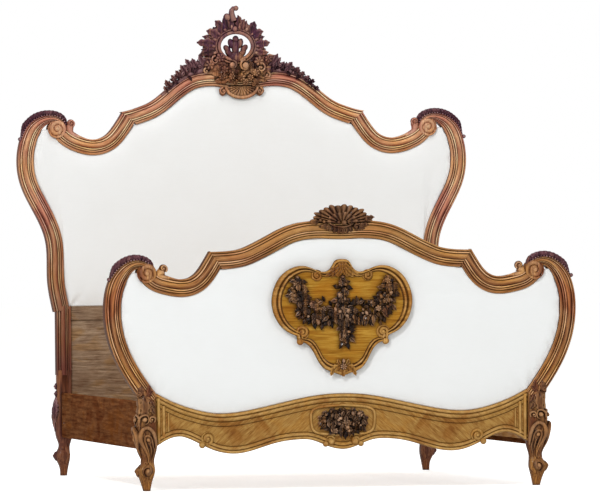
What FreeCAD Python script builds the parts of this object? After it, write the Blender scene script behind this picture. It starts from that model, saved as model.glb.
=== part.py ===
import FreeCAD, Part
import math
import os

os.makedirs("parts", exist_ok=True)
Vector = FreeCAD.Vector

# Mattress that the bed takes, and the room left around it
mattress_width = 1400.0
mattress_length = 1900.0
mattress_side_clearance = 10.0
mattress_end_clearance = 15.0

# Side rails with the ledgers that carry the slats
rail_thickness = 28.0
rail_height = 175.0
rail_bottom = 150.0
rail_end_gap = 0.2
ledger_thickness = 26.0
ledger_height = 34.0
ledger_rise = 22.0
ledger_end_setback = 60.0
ledger_screw_count = 6
ledger_screw_radius = 2.5
ledger_screw_length = 42.0

# Slats, tied into one mat by two tapes
slat_count = 13
slat_width = 85.0
slat_thickness = 18.0
slat_end_gap = 3.0
slat_first_setback = 50.0
tape_width = 22.0
tape_thickness = 1.5
tape_place_share = 0.55

# Steel hooks in the rail ends, and the pins in the posts that they drop over
hook_thickness = 4.0
hook_plate_length = 70.0
hook_plate_height = 120.0
hook_reach = 25.0
hook_tab_height = 58.0
hook_nose_drop = 12.0
hook_pin_radius = 4.0
hook_pin_length = 42.0
hook_pin_depth = 13.0
hook_pin_height = 238.0
hook_pin_clearance = 0.3
hook_rivet_radius = 3.0
hook_rivet_head_radius = 6.0
hook_rivet_head_height = 2.0
post_slot_width = 5.0
post_slot_depth = 30.0
post_slot_bottom = 158.0
post_slot_height = 164.0

# Bed ends: overall heights, posts and moulded members
head_height = 1846.0
foot_height = 1046.0
frame_depth = 58.0
post_width = 58.0
knee_height = 345.0
head_member_width = 62.0
foot_member_width = 65.0
face_setback = 6.0
moulding_raise = 8.0
crown_width_share = 0.55
seat_gap = 0.3
dowel_radius = 5.0
dowel_length = 60.0
dowel_clearance = 0.1
dowel_front_share = 0.38
dowel_back_share = 0.72
cut_overrun = 100.0

# Upholstered panels, front to back
cover_recess = 12.0
cover_thickness = 2.0
pad_thickness = 20.0
hessian_thickness = 1.2
webbing_thickness = 2.5
webbing_width = 55.0
webbing_pitch = 175.0
chassis_thickness = 18.0
chassis_board_width = 75.0
chassis_muntin_width = 120.0
back_cloth_thickness = 1.2

# Plain lower rail and panel between the head posts
lower_rail_top = 666.0
lower_rail_height = 56.0
lower_rail_thickness = 36.0
lower_rail_recess = 14.0
lower_panel_bottom = 270.0
lower_panel_thickness = 20.0
lower_panel_recess = 20.0

# Carved pieces
volute_radius = 31.0
volute_raise = 12.0
bud_radius = 15.0
leaf_height = 24.0
leaf_setback = 2.0
leaf_depth = 38.0
carving_front = 14.0
crest_width = 224.0
crest_height = 370.0
crest_lean = 22.0
wreath_hole_width = 112.0
wreath_hole_height = 96.0
spray_thickness = 10.0
swag_height = 56.0
swag_depth = 30.0
shell_width = 250.0
shell_height = 111.0

# Apron of the foot end
apron_thickness = 38.0
apron_recess = 12.0
apron_top_moulding = 27.0
apron_bottom_moulding = 22.0
apron_moulding_raise = 7.0
apron_edge_inset = 1.5
bouquet_width = 196.0
bouquet_height = 98.0
bouquet_thickness = 15.0
bouquet_place_share = 0.725

# Shield and garland on the foot end's panel
shield_width = 526.0
shield_top_gap = 75.0
shield_bottom_gap = 65.0
shield_thickness = 18.0
shield_moulding_thickness = 8.0
shield_field_share = 0.875
garland_thickness = 20.0
garland_width = 62.0
shield_screw_radius = 3.0
shield_screw_bite = 12.0
shield_screw_place_share = 0.25
shield_screw_height_shares = (0.32, 0.72)

# Places that follow from the sizes above
post_x = mattress_width / 2 + mattress_side_clearance + rail_thickness / 2
post_inner_x = post_x - post_width / 2
rail_inner_x = post_x - rail_thickness / 2
rail_outer_x = post_x + rail_thickness / 2
board_gap = mattress_length + 2 * mattress_end_clearance
front_reach = shield_thickness + garland_thickness - cover_recess
overall_length = front_reach + 2 * frame_depth + board_gap
foot_y = front_reach - overall_length / 2
head_y = overall_length / 2 - frame_depth
rail_start_y = foot_y + frame_depth + rail_end_gap
rail_end_y = head_y - rail_end_gap
middle_y = (rail_start_y + rail_end_y) / 2

# Centre lines of the moulded members of one half: shares of the post's place and of the height above it
head_stile_shares = [
    (1.010, -0.014), (1.023, 0.024), (1.037, 0.080), (1.039, 0.165), (1.048, 0.224), (1.081, 0.284),
    (1.137, 0.351), (1.185, 0.418), (1.200, 0.487), (1.184, 0.549), (1.157, 0.587), (1.116, 0.612),
    (1.064, 0.623), (1.017, 0.617), (0.989, 0.593), (0.996, 0.571),
]
head_stile_width_shares = [1.0] * 10 + [0.94, 0.71, 0.48, 0.39, 0.32, 0.26]
head_volute_share = (1.028, 0.590)
head_bud_share = (0.953, 0.609)
head_shoulder_shares = [
    (1.006, 0.576), (0.967, 0.556), (0.905, 0.538), (0.829, 0.529), (0.771, 0.535),
    (0.721, 0.553), (0.681, 0.581), (0.649, 0.610), (0.628, 0.631), (0.608, 0.651),
]
head_crest_shares = [
    (0.711, 0.617), (0.633, 0.624), (0.552, 0.639), (0.497, 0.653), (0.442, 0.675), (0.387, 0.703),
    (0.331, 0.729), (0.276, 0.747), (0.221, 0.755), (0.166, 0.757), (0.083, 0.751), (0.0, 0.749),
]
head_mitre_shares = ((0.674, 0.646), (0.594, 0.607))
foot_stile_shares = [
    (0.986, -0.021), (1.054, 0.078), (1.119, 0.193), (1.160, 0.306), (1.178, 0.434), (1.171, 0.534),
    (1.153, 0.596), (1.119, 0.652), (1.064, 0.690), (1.015, 0.687), (0.979, 0.658), (0.971, 0.625),
]
foot_stile_width_shares = [0.92] * 7 + [0.74, 0.52, 0.40, 0.31, 0.25]
foot_volute_share = (1.004, 0.645)
foot_bud_share = (0.920, 0.670)
foot_shoulder_shares = [
    (0.997, 0.634), (0.960, 0.600), (0.898, 0.578), (0.829, 0.567), (0.773, 0.575),
    (0.7265, 0.603), (0.688, 0.649), (0.662, 0.692), (0.644, 0.723), (0.624, 0.758),
]
foot_crest_shares = [
    (0.711, 0.709), (0.644, 0.709), (0.552, 0.715), (0.497, 0.727), (0.442, 0.751), (0.387, 0.779),
    (0.331, 0.810), (0.276, 0.837), (0.221, 0.855), (0.166, 0.864), (0.083, 0.866), (0.0, 0.863),
]
foot_mitre_shares = ((0.673, 0.753), (0.615, 0.663))

# Points of its member's line that each carved strip skips, and its height at the points that follow
head_leaf_skip_count = 9
foot_leaf_skip_count = 6
swag_skip_count = 4
head_leaf_height_shares = (0.25, 0.85, 1.0, 1.0, 0.9, 0.5)
foot_leaf_height_shares = (0.5, 1.0, 1.0, 0.9, 0.5)
swag_height_shares = (0.25, 0.45, 0.75, 0.85, 0.9, 1.0)

# Leg sections: height, outer side, inner side, front and back, as shares of knee, post and depth
head_leg_shares = [
    (0.0, 0.29, -0.14, 0.20, 0.75), (0.116, 0.38, -0.26, 0.12, 0.85), (0.23, 0.62, -0.36, -0.10, 0.95),
    (0.333, 0.38, -0.345, 0.06, 0.90), (0.43, 0.53, -0.5, 0.0, 1.0), (0.54, 0.72, -0.5, 0.0, 1.0),
    (0.64, 0.83, -0.5, 0.0, 1.0), (0.80, 0.70, -0.5, 0.0, 1.0), (0.90, 0.53, -0.5, 0.0, 1.0),
    (1.0, 0.5, -0.5, 0.0, 1.0),
]
foot_leg_shares = [
    (0.0, 0.33, -0.10, 0.22, 0.80), (0.116, 0.55, -0.24, 0.10, 0.86), (0.217, 0.69, -0.38, -0.14, 0.88),
    (0.319, 0.48, -0.345, 0.08, 0.84), (0.43, 0.60, -0.5, -0.04, 1.0), (0.58, 0.86, -0.5, -0.20, 1.0),
    (0.696, 0.88, -0.5, -0.22, 1.0), (0.84, 0.70, -0.5, -0.12, 1.0), (1.0, 0.76, -0.5, -0.04, 1.0),
]
leg_chamfer_share = 0.2

# Outlines of the carved pieces, as shares of their own sizes, and of the apron, as shares of the knee
crest_outline_shares = [
    (0.0, 0.0), (0.44, 0.035), (0.76, 0.09), (0.92, 0.23), (1.0, 0.39), (0.93, 0.55),
    (0.75, 0.70), (0.47, 0.82), (0.20, 0.90), (0.10, 0.98), (0.0, 1.0),
]
wreath_centre_share = 0.565
spray_outline_shares = [(0.0, -1.15), (0.78, -0.35), (0.55, 0.4), (0.0, 0.80)]
shell_outline_shares = [
    (0.0, 0.0), (0.36, 0.05), (0.64, 0.24), (0.84, 0.45), (1.0, 0.585), (0.90, 0.72),
    (0.64, 0.86), (0.32, 0.965), (0.0, 1.0),
]
apron_top_shares = [
    (0.0, 1.010), (0.11, 0.997), (0.276, 0.934), (0.442, 0.858), (0.58, 0.814), (0.677, 0.819),
    (0.773, 0.864), (0.870, 0.937),
]
apron_top_end_share = 1.034
apron_bottom_shares = [
    (0.0, 0.417), (0.076, 0.455), (0.152, 0.515), (0.235, 0.525), (0.345, 0.493), (0.456, 0.423),
    (0.5525, 0.385), (0.635, 0.406), (0.732, 0.493), (0.829, 0.573), (0.898, 0.550),
]
apron_bottom_end_share = 0.476
shield_upper_shares = [
    (0.0, 1.0), (0.085, 0.99), (0.145, 0.935), (0.22, 0.895), (0.323, 0.897), (0.437, 0.925),
    (0.57, 0.944), (0.722, 0.923), (0.867, 0.858), (0.966, 0.753), (1.0, 0.64), (0.973, 0.54),
    (0.897, 0.45), (0.78, 0.382), (0.654, 0.347),
]
shield_lower_shares = [
    (0.639, 0.296), (0.532, 0.284), (0.43, 0.226), (0.357, 0.142), (0.274, 0.072), (0.183, 0.04),
    (0.114, 0.026), (0.0, 0.0),
]
shield_centre_share = 0.55
festoon_shares = [
    (0.646, 0.83), (0.654, 0.75), (0.608, 0.645), (0.475, 0.564), (0.266, 0.541), (0.0, 0.529),
]
festoon_width_shares = (0.3, 0.75, 1.0, 1.0, 0.95, 0.9)
drop_shares = [
    (0.0, 0.83), (0.0, 0.67), (0.0, 0.53), (0.015, 0.41), (0.022, 0.30), (0.022, 0.18),
]
drop_width_shares = (0.25, 0.6, 0.75, 0.85, 0.65, 0.25)


# Levels that the shares of height run between, and the places that follow from them
head_levels = (lower_rail_top, head_height)
foot_levels = (knee_height, foot_height)
apron_levels = (0.0, knee_height)
crest_bottom = head_height - crest_height
shell_bottom = foot_height - shell_height
apron_crest = apron_top_shares[0][1] * knee_height
foot_rail_rise = foot_crest_shares[-1][1] * (foot_height - knee_height) - foot_member_width / 2
shield_bottom = apron_crest + shield_bottom_gap
shield_height = knee_height + foot_rail_rise - shield_top_gap - shield_bottom


def at(shares, levels):
    """Point of a bed end, from shares of the post's place and of the height between two levels."""
    low, high = levels
    return Vector(shares[0] * post_x, 0, low + shares[1] * (high - low))


class CentreLine:
    """Smooth line through points in the plane of a bed end, measured by its chord lengths."""

    def __init__(self, points):
        self.points = points
        self.places = [0.0]
        for start, end in zip(points, points[1:]):
            self.places.append(self.places[-1] + start.distanceToPoint(end))
        self.curve = Part.BSplineCurve()
        self.curve.interpolate(Points=points, Parameters=self.places)

    def beside(self, offsets, first, last):
        """Curve beside the line, offset to its inner side by a value given at each point."""
        steps = 4 * (last - first)
        start, end = self.places[first], self.places[last]
        points = []
        for step in range(steps + 1):
            place = start + (end - start) * step / steps
            tangent = self.curve.tangent(place)[0]
            inward = Vector(-tangent.z, 0, tangent.x)
            points.append(self.curve.value(place) + inward * self.between(offsets, place))
        curve = Part.BSplineCurve()
        curve.interpolate(points)
        return curve

    def between(self, values, place):
        """Value at a place on the line, in proportion between the points on either side."""
        for index in range(len(self.places) - 2):
            if place <= self.places[index + 1]:
                break
        else:
            index = len(self.places) - 2
        run = self.places[index + 1] - self.places[index]
        share = (place - self.places[index]) / run
        return values[index] + (values[index + 1] - values[index]) * share


def extruded(edges, front, back):
    """Solid of a closed outline, from one depth behind the board's front plane to another."""
    face = Part.Face(Part.Wire(Part.__sortEdges__(edges)))
    face.translate(Vector(0, front, 0))
    return face.extrude(Vector(0, back - front, 0))


def segment(start, end):
    return Part.LineSegment(start, end).toShape()


def polygon(points, front, back):
    edges = [segment(a, b) for a, b in zip(points, points[1:] + points[:1])]
    return extruded(edges, front, back)


def strip(line, outer, inner, front, back, first=0, last=None):
    """Solid between two curves beside a line."""
    last = len(line.points) - 1 if last is None else last
    one = line.beside(outer, first, last)
    two = line.beside(inner, first, last)
    ends = [
        segment(one.StartPoint, two.StartPoint),
        segment(one.EndPoint, two.EndPoint),
    ]
    return extruded([one.toShape(), two.toShape()] + ends, front, back)


def moulded(line, widths):
    """Frame member: a flat-backed body with a raised crown along its middle."""
    half = [width / 2 for width in widths]
    crown = [width / 2 * crown_width_share for width in widths]
    body = strip(line, [-value for value in half], half, face_setback, frame_depth)
    top = strip(line, [-value for value in crown], crown, face_setback - moulding_raise, face_setback)
    return one_solid(body.fuse(top))


def mirrored(shape):
    return shape.mirror(Vector(0, 0, 0), Vector(1, 0, 0))


def one_solid(shape):
    """Largest solid of a shape, with its split faces joined."""
    return max(shape.removeSplitter().Solids, key=lambda solid: solid.Volume)


def disc(centre, radius, front, back):
    base = Vector(centre.x, front, centre.z)
    return Part.makeCylinder(radius, back - front, base, Vector(0, 1, 0))


def peg(centre, direction, radius, length):
    """Round peg centred on a point."""
    unit = Vector(direction).normalize()
    return Part.makeCylinder(radius, length, centre - unit * (length / 2), unit)


def block(low, high):
    size = high - low
    return Part.makeBox(size.x, size.y, size.z, low)


def side_block(start, end):
    """Block filling the left side of a line drawn in the plane of a bed end."""
    along = Vector(end - start).normalize()
    left = Vector(-along.z, 0, along.x)
    reach = head_height
    corners = [
        start - along * reach,
        start + along * reach,
        start + along * reach + left * reach,
        start - along * reach + left * reach,
    ]
    return polygon(corners, -cut_overrun, frame_depth + cut_overrun)


def mirrored_outline(right_points):
    """Closed edges of an outline that is the same on both sides, from its right half."""
    curve = Part.BSplineCurve()
    curve.interpolate(right_points)
    right = curve.toShape()
    return [right, mirrored(right)]


def save(node, shape, board_y=0.0):
    placed = shape.copy()
    placed.translate(Vector(0, board_y, 0))
    placed.exportStep("parts/" + node + ".step")


def save_pair(node, right_shape, board_y=0.0):
    save(node + "_right", right_shape, board_y)
    save(node + "_left", mirrored(right_shape), board_y)


def leg(sections):
    """Cabriole leg from the floor to the top of the knee, lofted through chamfered sections."""
    wires = []
    for height, outer, inner, front, back in sections:
        z = height * knee_height
        x0, x1 = post_x + inner * post_width, post_x + outer * post_width
        y0, y1 = front * frame_depth, back * frame_depth
        cut = leg_chamfer_share * min(x1 - x0, y1 - y0)
        corners = [
            (x0 + cut, y0), (x1 - cut, y0), (x1, y0 + cut), (x1, y1 - cut),
            (x1 - cut, y1), (x0 + cut, y1), (x0, y1 - cut), (x0, y0 + cut),
        ]
        points = [Vector(x, y, z) for x, y in corners]
        wires.append(Part.makePolygon(points + points[:1]))
    return Part.makeLoft(wires, True, True)


def hook_slot(face_depth, inward):
    """Mortise in a post for the rail's hook, and the hole for its pin."""
    low = min(face_depth, face_depth + inward * post_slot_depth)
    slot = block(
        Vector(post_x - post_slot_width / 2, low, post_slot_bottom),
        Vector(post_x + post_slot_width / 2, low + post_slot_depth, post_slot_bottom + post_slot_height),
    )
    return slot.fuse(hook_pin(face_depth, inward))


def hook_pin(face_depth, inward):
    centre = Vector(post_x, face_depth + inward * hook_pin_depth, hook_pin_height)
    return peg(centre, Vector(1, 0, 0), hook_pin_radius, hook_pin_length)


def stile(shares, width_shares, levels, member_width, volute_share, leg_sections):
    """One upright: leg, straight post, serpentine stile and the volute that ends it."""
    line = CentreLine([at(share, levels) for share in shares])
    widths = [share * member_width for share in width_shares]
    upright = moulded(line, widths)
    volute = disc(at(volute_share, levels), volute_radius, face_setback - volute_raise, frame_depth)
    lower = leg(leg_sections)
    post_top = levels[0]
    if post_top > knee_height:
        lower = lower.fuse(block(
            Vector(post_inner_x, 0, knee_height),
            Vector(post_x + post_width / 2, frame_depth, post_top),
        ))
    return line, widths, one_solid(upright.fuse(volute).fuse(lower))


def shoulder(shares, levels, member_width, bud_share, mitre, upright):
    """C-curved shoulder from the volute to the mitre, with the curled bud at its root."""
    line = CentreLine([at(share, levels) for share in shares])
    member = moulded(line, [member_width] * len(shares))
    root = line.points[1]
    bud_centre = at(bud_share, levels)
    neck = CentreLine([root, (root + bud_centre) / 2, bud_centre])
    half = bud_radius / 2
    stem = strip(neck, [-half] * 3, [half] * 3, face_setback, leaf_depth)
    bud = disc(bud_centre, bud_radius, face_setback, leaf_depth)
    member = member.fuse(stem).fuse(bud)
    return line, one_solid(member.cut(side_block(mitre[1], mitre[0])).cut(upright))


def top_rail(shares, levels, member_width, mitre):
    """Arched top rail between the two mitres."""
    right = [at(share, levels) for share in shares]
    left = [Vector(-point.x, 0, point.z) for point in reversed(right[:-1])]
    line = CentreLine(right + left)
    rail = moulded(line, [member_width] * len(line.points))
    waste = side_block(mitre[0], mitre[1])
    return line, one_solid(rail.cut(waste).cut(mirrored(waste)))


def carved_strip(line, widths, skip, height, height_shares, depth):
    """Leaf carving that lies along the outer edge of a member."""
    foot = [-(width / 2 + seat_gap) for width in widths]
    tip = list(foot)
    for index, share in enumerate(height_shares):
        tip[skip + index] -= height * share
    last = skip + len(height_shares) - 1
    return strip(line, tip, foot, leaf_setback, leaf_setback + depth, skip, last)


def joint_dowels(centre, direction):
    """Two dowels across a joint, one behind the other."""
    dowels = []
    for share in (dowel_front_share, dowel_back_share):
        place = Vector(centre.x, face_setback + share * (frame_depth - face_setback), centre.z)
        dowels.append((place, direction))
    return dowels


def dowel_solids(dowels, radius):
    return [peg(place, direction, radius, dowel_length) for place, direction in dowels]


def drill(shape, dowels):
    """Bores dowel holes in a piece."""
    for hole in dowel_solids(dowels, dowel_radius + dowel_clearance):
        shape = shape.cut(hole)
    return one_solid(shape)


def panel_plate(corners, members, front, back):
    """Plate that fills a bed end's opening, from corners that lie inside the frame around it."""
    middle = [Vector(0, 0, corners[-1].z), Vector(0, 0, corners[0].z)]
    half = polygon(corners + middle, front, back)
    for member in members:
        half = half.cut(member)
    half = one_solid(half)
    return one_solid(half.fuse(mirrored(half)))


def opening_edges(stile_line, widths, last, volute_centre, shoulder_line, rail_line, member_width):
    """Frame members made wider by the seat gap, to trim an upholstered panel to its opening."""
    deep = (-cut_overrun, frame_depth + cut_overrun)
    grown = [width / 2 + seat_gap for width in widths]
    even = member_width / 2 + seat_gap

    def grown_strip(line, halves, end=None):
        return strip(line, [-value for value in halves], halves, deep[0], deep[1], 0, end)

    ring = disc(volute_centre, volute_radius + seat_gap, deep[0], deep[1])
    return [
        grown_strip(stile_line, grown, last),
        ring,
        grown_strip(shoulder_line, [even] * len(shoulder_line.points)),
        grown_strip(rail_line, [even] * len(rail_line.points)),
    ]


def sliced(plate, front, thickness):
    """Layer with the outline of a plate's front face, between two depths."""
    face = min(plate.Faces, key=lambda side: side.CenterOfMass.y).copy()
    face.translate(Vector(0, front - face.CenterOfMass.y, 0))
    return face.extrude(Vector(0, thickness, 0))


def upholstery(plate, low, high, screws):
    """Cover, pad, hessian, webbing, chassis and back cloth of one panel, front to back."""
    layers = {}
    depth = cover_recess
    for name, thickness in (
        ("cover", cover_thickness),
        ("pad", pad_thickness),
        ("hessian", hessian_thickness),
        ("webbing", webbing_thickness),
        ("chassis", chassis_thickness),
        ("back_cloth", back_cloth_thickness),
    ):
        layer = sliced(plate, depth, thickness)
        if name == "webbing":
            layer = one_solid(layer.common(strap_grid(depth, low, high)))
        if name == "chassis":
            layer = chassis(layer, depth, low, high)
        if name != "back_cloth":
            for screw in screws:
                layer = layer.cut(screw)
        layers[name] = one_solid(layer)
        depth += thickness
    return layers


def strap_grid(front, low, high):
    """Crossed webbing straps over the chassis, tacked together where they cross."""
    back = front + webbing_thickness
    half = webbing_width / 2
    straps = []
    across = int((post_inner_x - chassis_board_width) / webbing_pitch)
    for number in range(1, across + 1):
        for side in (-1, 1):
            x = side * number * webbing_pitch
            straps.append(block(Vector(x - half, front, low), Vector(x + half, back, head_height)))
    rows = int((high - low - chassis_board_width) / webbing_pitch)
    for number in range(1, rows + 1):
        z = low + number * webbing_pitch
        straps.append(block(Vector(-head_height, front, z - half), Vector(head_height, back, z + half)))
    return straps[0].fuse(straps[1:])


def chassis(plate, front, low, high):
    """Wooden frame of an upholstered panel: two windows on either side of a middle board."""
    inner, outer = chassis_muntin_width / 2, post_inner_x - chassis_board_width
    window = block(
        Vector(inner, front - cut_overrun, low + chassis_board_width),
        Vector(outer, front + cut_overrun, high - chassis_board_width),
    )
    return one_solid(plate.cut(window).cut(mirrored(window)))


def crest_piece():
    """Pierced crest: shell base, wreath with its leaf spray, and finial, leaning to one side."""

    def leaning(x, z):
        lean = max(0.0, z - crest_bottom) / crest_height * crest_lean
        return Vector(x - lean, 0, z)

    half = [(x * crest_width / 2, crest_bottom + z * crest_height) for x, z in crest_outline_shares]
    whole = half + [(-x, z) for x, z in reversed(half[1:-1])]
    outline = Part.BSplineCurve()
    outline.interpolate(Points=[leaning(x, z) for x, z in whole], PeriodicFlag=True)
    body = extruded([outline.toShape()], -carving_front, cover_recess)
    middle = leaning(0, crest_bottom + wreath_centre_share * crest_height)
    hole = Part.Ellipse()
    hole.MajorRadius = wreath_hole_width / 2
    hole.MinorRadius = wreath_hole_height / 2
    edge = hole.toShape()
    edge.rotate(Vector(0, 0, 0), Vector(1, 0, 0), 90)
    edge.translate(middle)
    body = body.cut(extruded([edge], -carving_front - cut_overrun, cover_recess + cut_overrun))
    right = [
        Vector(x * wreath_hole_width / 2, 0, z * wreath_hole_height / 2) for x, z in spray_outline_shares
    ]
    spray = extruded(mirrored_outline(right), -spray_thickness, 0)
    spray.translate(middle)
    return one_solid(body.fuse(spray))


def shell_piece():
    """Scallop shell over the middle of the foot end's top rail."""
    points = [
        Vector(x * shell_width / 2, 0, shell_bottom + z * shell_height) for x, z in shell_outline_shares
    ]
    return one_solid(extruded(mirrored_outline(points), -carving_front, cover_recess))


def apron_lines():
    """Top and bottom edges of the apron, each drawn so that its inner side faces the other."""
    top = [at(share, apron_levels) for share in apron_top_shares]
    top.append(Vector(post_inner_x, 0, apron_top_end_share * knee_height))
    bottom = [at(share, apron_levels) for share in apron_bottom_shares]
    bottom.append(Vector(post_inner_x, 0, apron_bottom_end_share * knee_height))
    top_left = [Vector(-point.x, 0, point.z) for point in top[1:]]
    bottom_left = [Vector(-point.x, 0, point.z) for point in bottom[1:]]
    return (
        CentreLine(list(reversed(top)) + top_left),
        CentreLine(list(reversed(bottom_left)) + bottom),
    )


def apron_edges(top, bottom, lift):
    rise = Vector(0, 0, lift)
    edges = [top.curve.toShape(), bottom.curve.toShape()]
    edges.append(segment(top.curve.StartPoint, bottom.curve.EndPoint))
    edges.append(segment(top.curve.EndPoint, bottom.curve.StartPoint))
    for edge in edges:
        edge.translate(rise)
    return edges


def apron_piece(top, bottom):
    """Serpentine apron board with a moulding along its top and bottom edges."""
    board = extruded(apron_edges(top, bottom, 0), apron_recess, apron_recess + apron_thickness)
    for line, width in ((top, apron_top_moulding), (bottom, apron_bottom_moulding)):
        count = len(line.points)
        bead = strip(
            line,
            [apron_edge_inset] * count,
            [apron_edge_inset + width] * count,
            apron_recess - apron_moulding_raise,
            apron_recess,
        )
        board = board.fuse(bead)
    return trim_sides(one_solid(board))


def trim_sides(shape):
    """Keeps a piece between the posts."""
    reach = head_height
    return one_solid(shape.common(block(
        Vector(-post_inner_x, -reach, -reach),
        Vector(post_inner_x, reach, reach),
    )))


def shield_point(x, z):
    return Vector(x * shield_width / 2, 0, shield_bottom + z * shield_height)


def shield_outline(share):
    """Edges of the shield, drawn in towards its middle by a share."""
    middle = Vector(0, 0, shield_bottom + shield_centre_share * shield_height)

    def drawn(shares):
        return [middle + (shield_point(x, z) - middle) * share for x, z in shares]

    upper, lower = drawn(shield_upper_shares), drawn(shield_lower_shares)
    edges = mirrored_outline(upper) + mirrored_outline(lower)
    step = segment(upper[-1], lower[0])
    return edges + [step, mirrored(step)]


def garland_piece(back):
    """Festoon of fruit and flowers hung from three points, with a drop below its middle."""
    front = back - garland_thickness
    festoon = CentreLine([shield_point(x, z) for x, z in festoon_shares])
    half = [share * garland_width / 2 for share in festoon_width_shares]
    right = strip(festoon, [-value for value in half], half, front, back)
    drop = CentreLine([shield_point(x, z) for x, z in drop_shares])
    half = [share * garland_width / 2 for share in drop_width_shares]
    middle = strip(drop, [-value for value in half], half, front, back)
    return one_solid(right.fuse(mirrored(right)).fuse(middle))


def flat_ellipse(width, height, centre_z, front, back):
    curve = Part.Ellipse()
    curve.MajorRadius = width / 2
    curve.MinorRadius = height / 2
    edge = curve.toShape()
    edge.rotate(Vector(0, 0, 0), Vector(1, 0, 0), 90)
    edge.translate(Vector(0, 0, centre_z))
    return extruded([edge], front, back)


def headboard():
    """Head end: carved frame, upholstered panel, lower rail and plain lower panel."""
    mitre = [at(share, head_levels) for share in head_mitre_shares]
    volute_centre = at(head_volute_share, head_levels)
    stile_line, widths, upright = stile(
        head_stile_shares, head_stile_width_shares, head_levels, head_member_width,
        head_volute_share, head_leg_shares,
    )
    shoulder_line, bend = shoulder(
        head_shoulder_shares, head_levels, head_member_width, head_bud_share, mitre, upright,
    )
    rail_line, rail = top_rail(head_crest_shares, head_levels, head_member_width, mitre)
    crest = crest_piece()

    mitre_normal = Vector(mitre[1].z - mitre[0].z, 0, mitre[0].x - mitre[1].x)
    mitre_dowels = joint_dowels((mitre[0] + mitre[1]) / 2, mitre_normal)
    root = shoulder_line.points[1]
    root_dowels = joint_dowels((root + volute_centre) / 2, volute_centre - root)
    rail_middle = lower_rail_top - lower_rail_height / 2
    lower_depth = lower_rail_recess + lower_rail_thickness / 2
    lower_dowels = [(Vector(post_inner_x, lower_depth, rail_middle), Vector(1, 0, 0))]
    right_dowels = mitre_dowels + root_dowels + lower_dowels
    dowels = dowel_solids(right_dowels, dowel_radius)

    post = drill(upright.cut(hook_slot(0, 1)), root_dowels + lower_dowels)
    rail = drill(mirrored(drill(rail, mitre_dowels)), mitre_dowels).cut(crest)
    save_pair("head_stile", post, head_y)
    save_pair("head_shoulder", drill(bend, mitre_dowels + root_dowels), head_y)
    save("head_crest_rail", one_solid(rail), head_y)
    save("head_crest_carving", crest, head_y)
    leaf = carved_strip(
        stile_line, widths, head_leaf_skip_count, leaf_height, head_leaf_height_shares, leaf_depth,
    )
    save_pair("head_scroll_leaf", one_solid(leaf.cut(bend).cut(upright)), head_y)
    swag = carved_strip(
        rail_line, [head_member_width] * len(rail_line.points), swag_skip_count, swag_height,
        swag_height_shares, swag_depth,
    )
    save_pair("head_swag", one_solid(swag.cut(crest).cut(mirrored(crest))), head_y)
    save("head_dowels", Part.makeCompound(dowels + [mirrored(dowel) for dowel in dowels]), head_y)
    pin = hook_pin(0, 1)
    save("head_hook_pins", Part.makeCompound([pin, mirrored(pin)]), head_y)

    lower_rail = block(
        Vector(-post_inner_x, lower_rail_recess, lower_rail_top - lower_rail_height),
        Vector(post_inner_x, lower_rail_recess + lower_rail_thickness, lower_rail_top),
    )
    lower_rail = drill(mirrored(drill(lower_rail, lower_dowels)), lower_dowels)
    save("head_lower_rail", lower_rail, head_y)
    save("head_lower_panel", block(
        Vector(-post_inner_x, lower_panel_recess, lower_panel_bottom),
        Vector(post_inner_x, lower_panel_recess + lower_panel_thickness, lower_rail_top - lower_rail_height),
    ), head_y)

    corners = [Vector(stile_line.points[1].x, 0, lower_rail_top)]
    corners += [point for point in stile_line.points[1:11] if point.z > lower_rail_top]
    corners += [volute_centre] + shoulder_line.points[1:9]
    corners += rail_line.points[1:len(head_crest_shares) - 1]
    members = opening_edges(
        stile_line, widths, 12, volute_centre, shoulder_line, rail_line, head_member_width,
    ) + [upright]
    plate = panel_plate(corners, members, cover_recess, frame_depth)
    low_shoulder = min(point.z for point in shoulder_line.points) - head_member_width / 2
    for name, layer in upholstery(plate, lower_rail_top, low_shoulder, []).items():
        save("head_" + name, layer, head_y)


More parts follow.
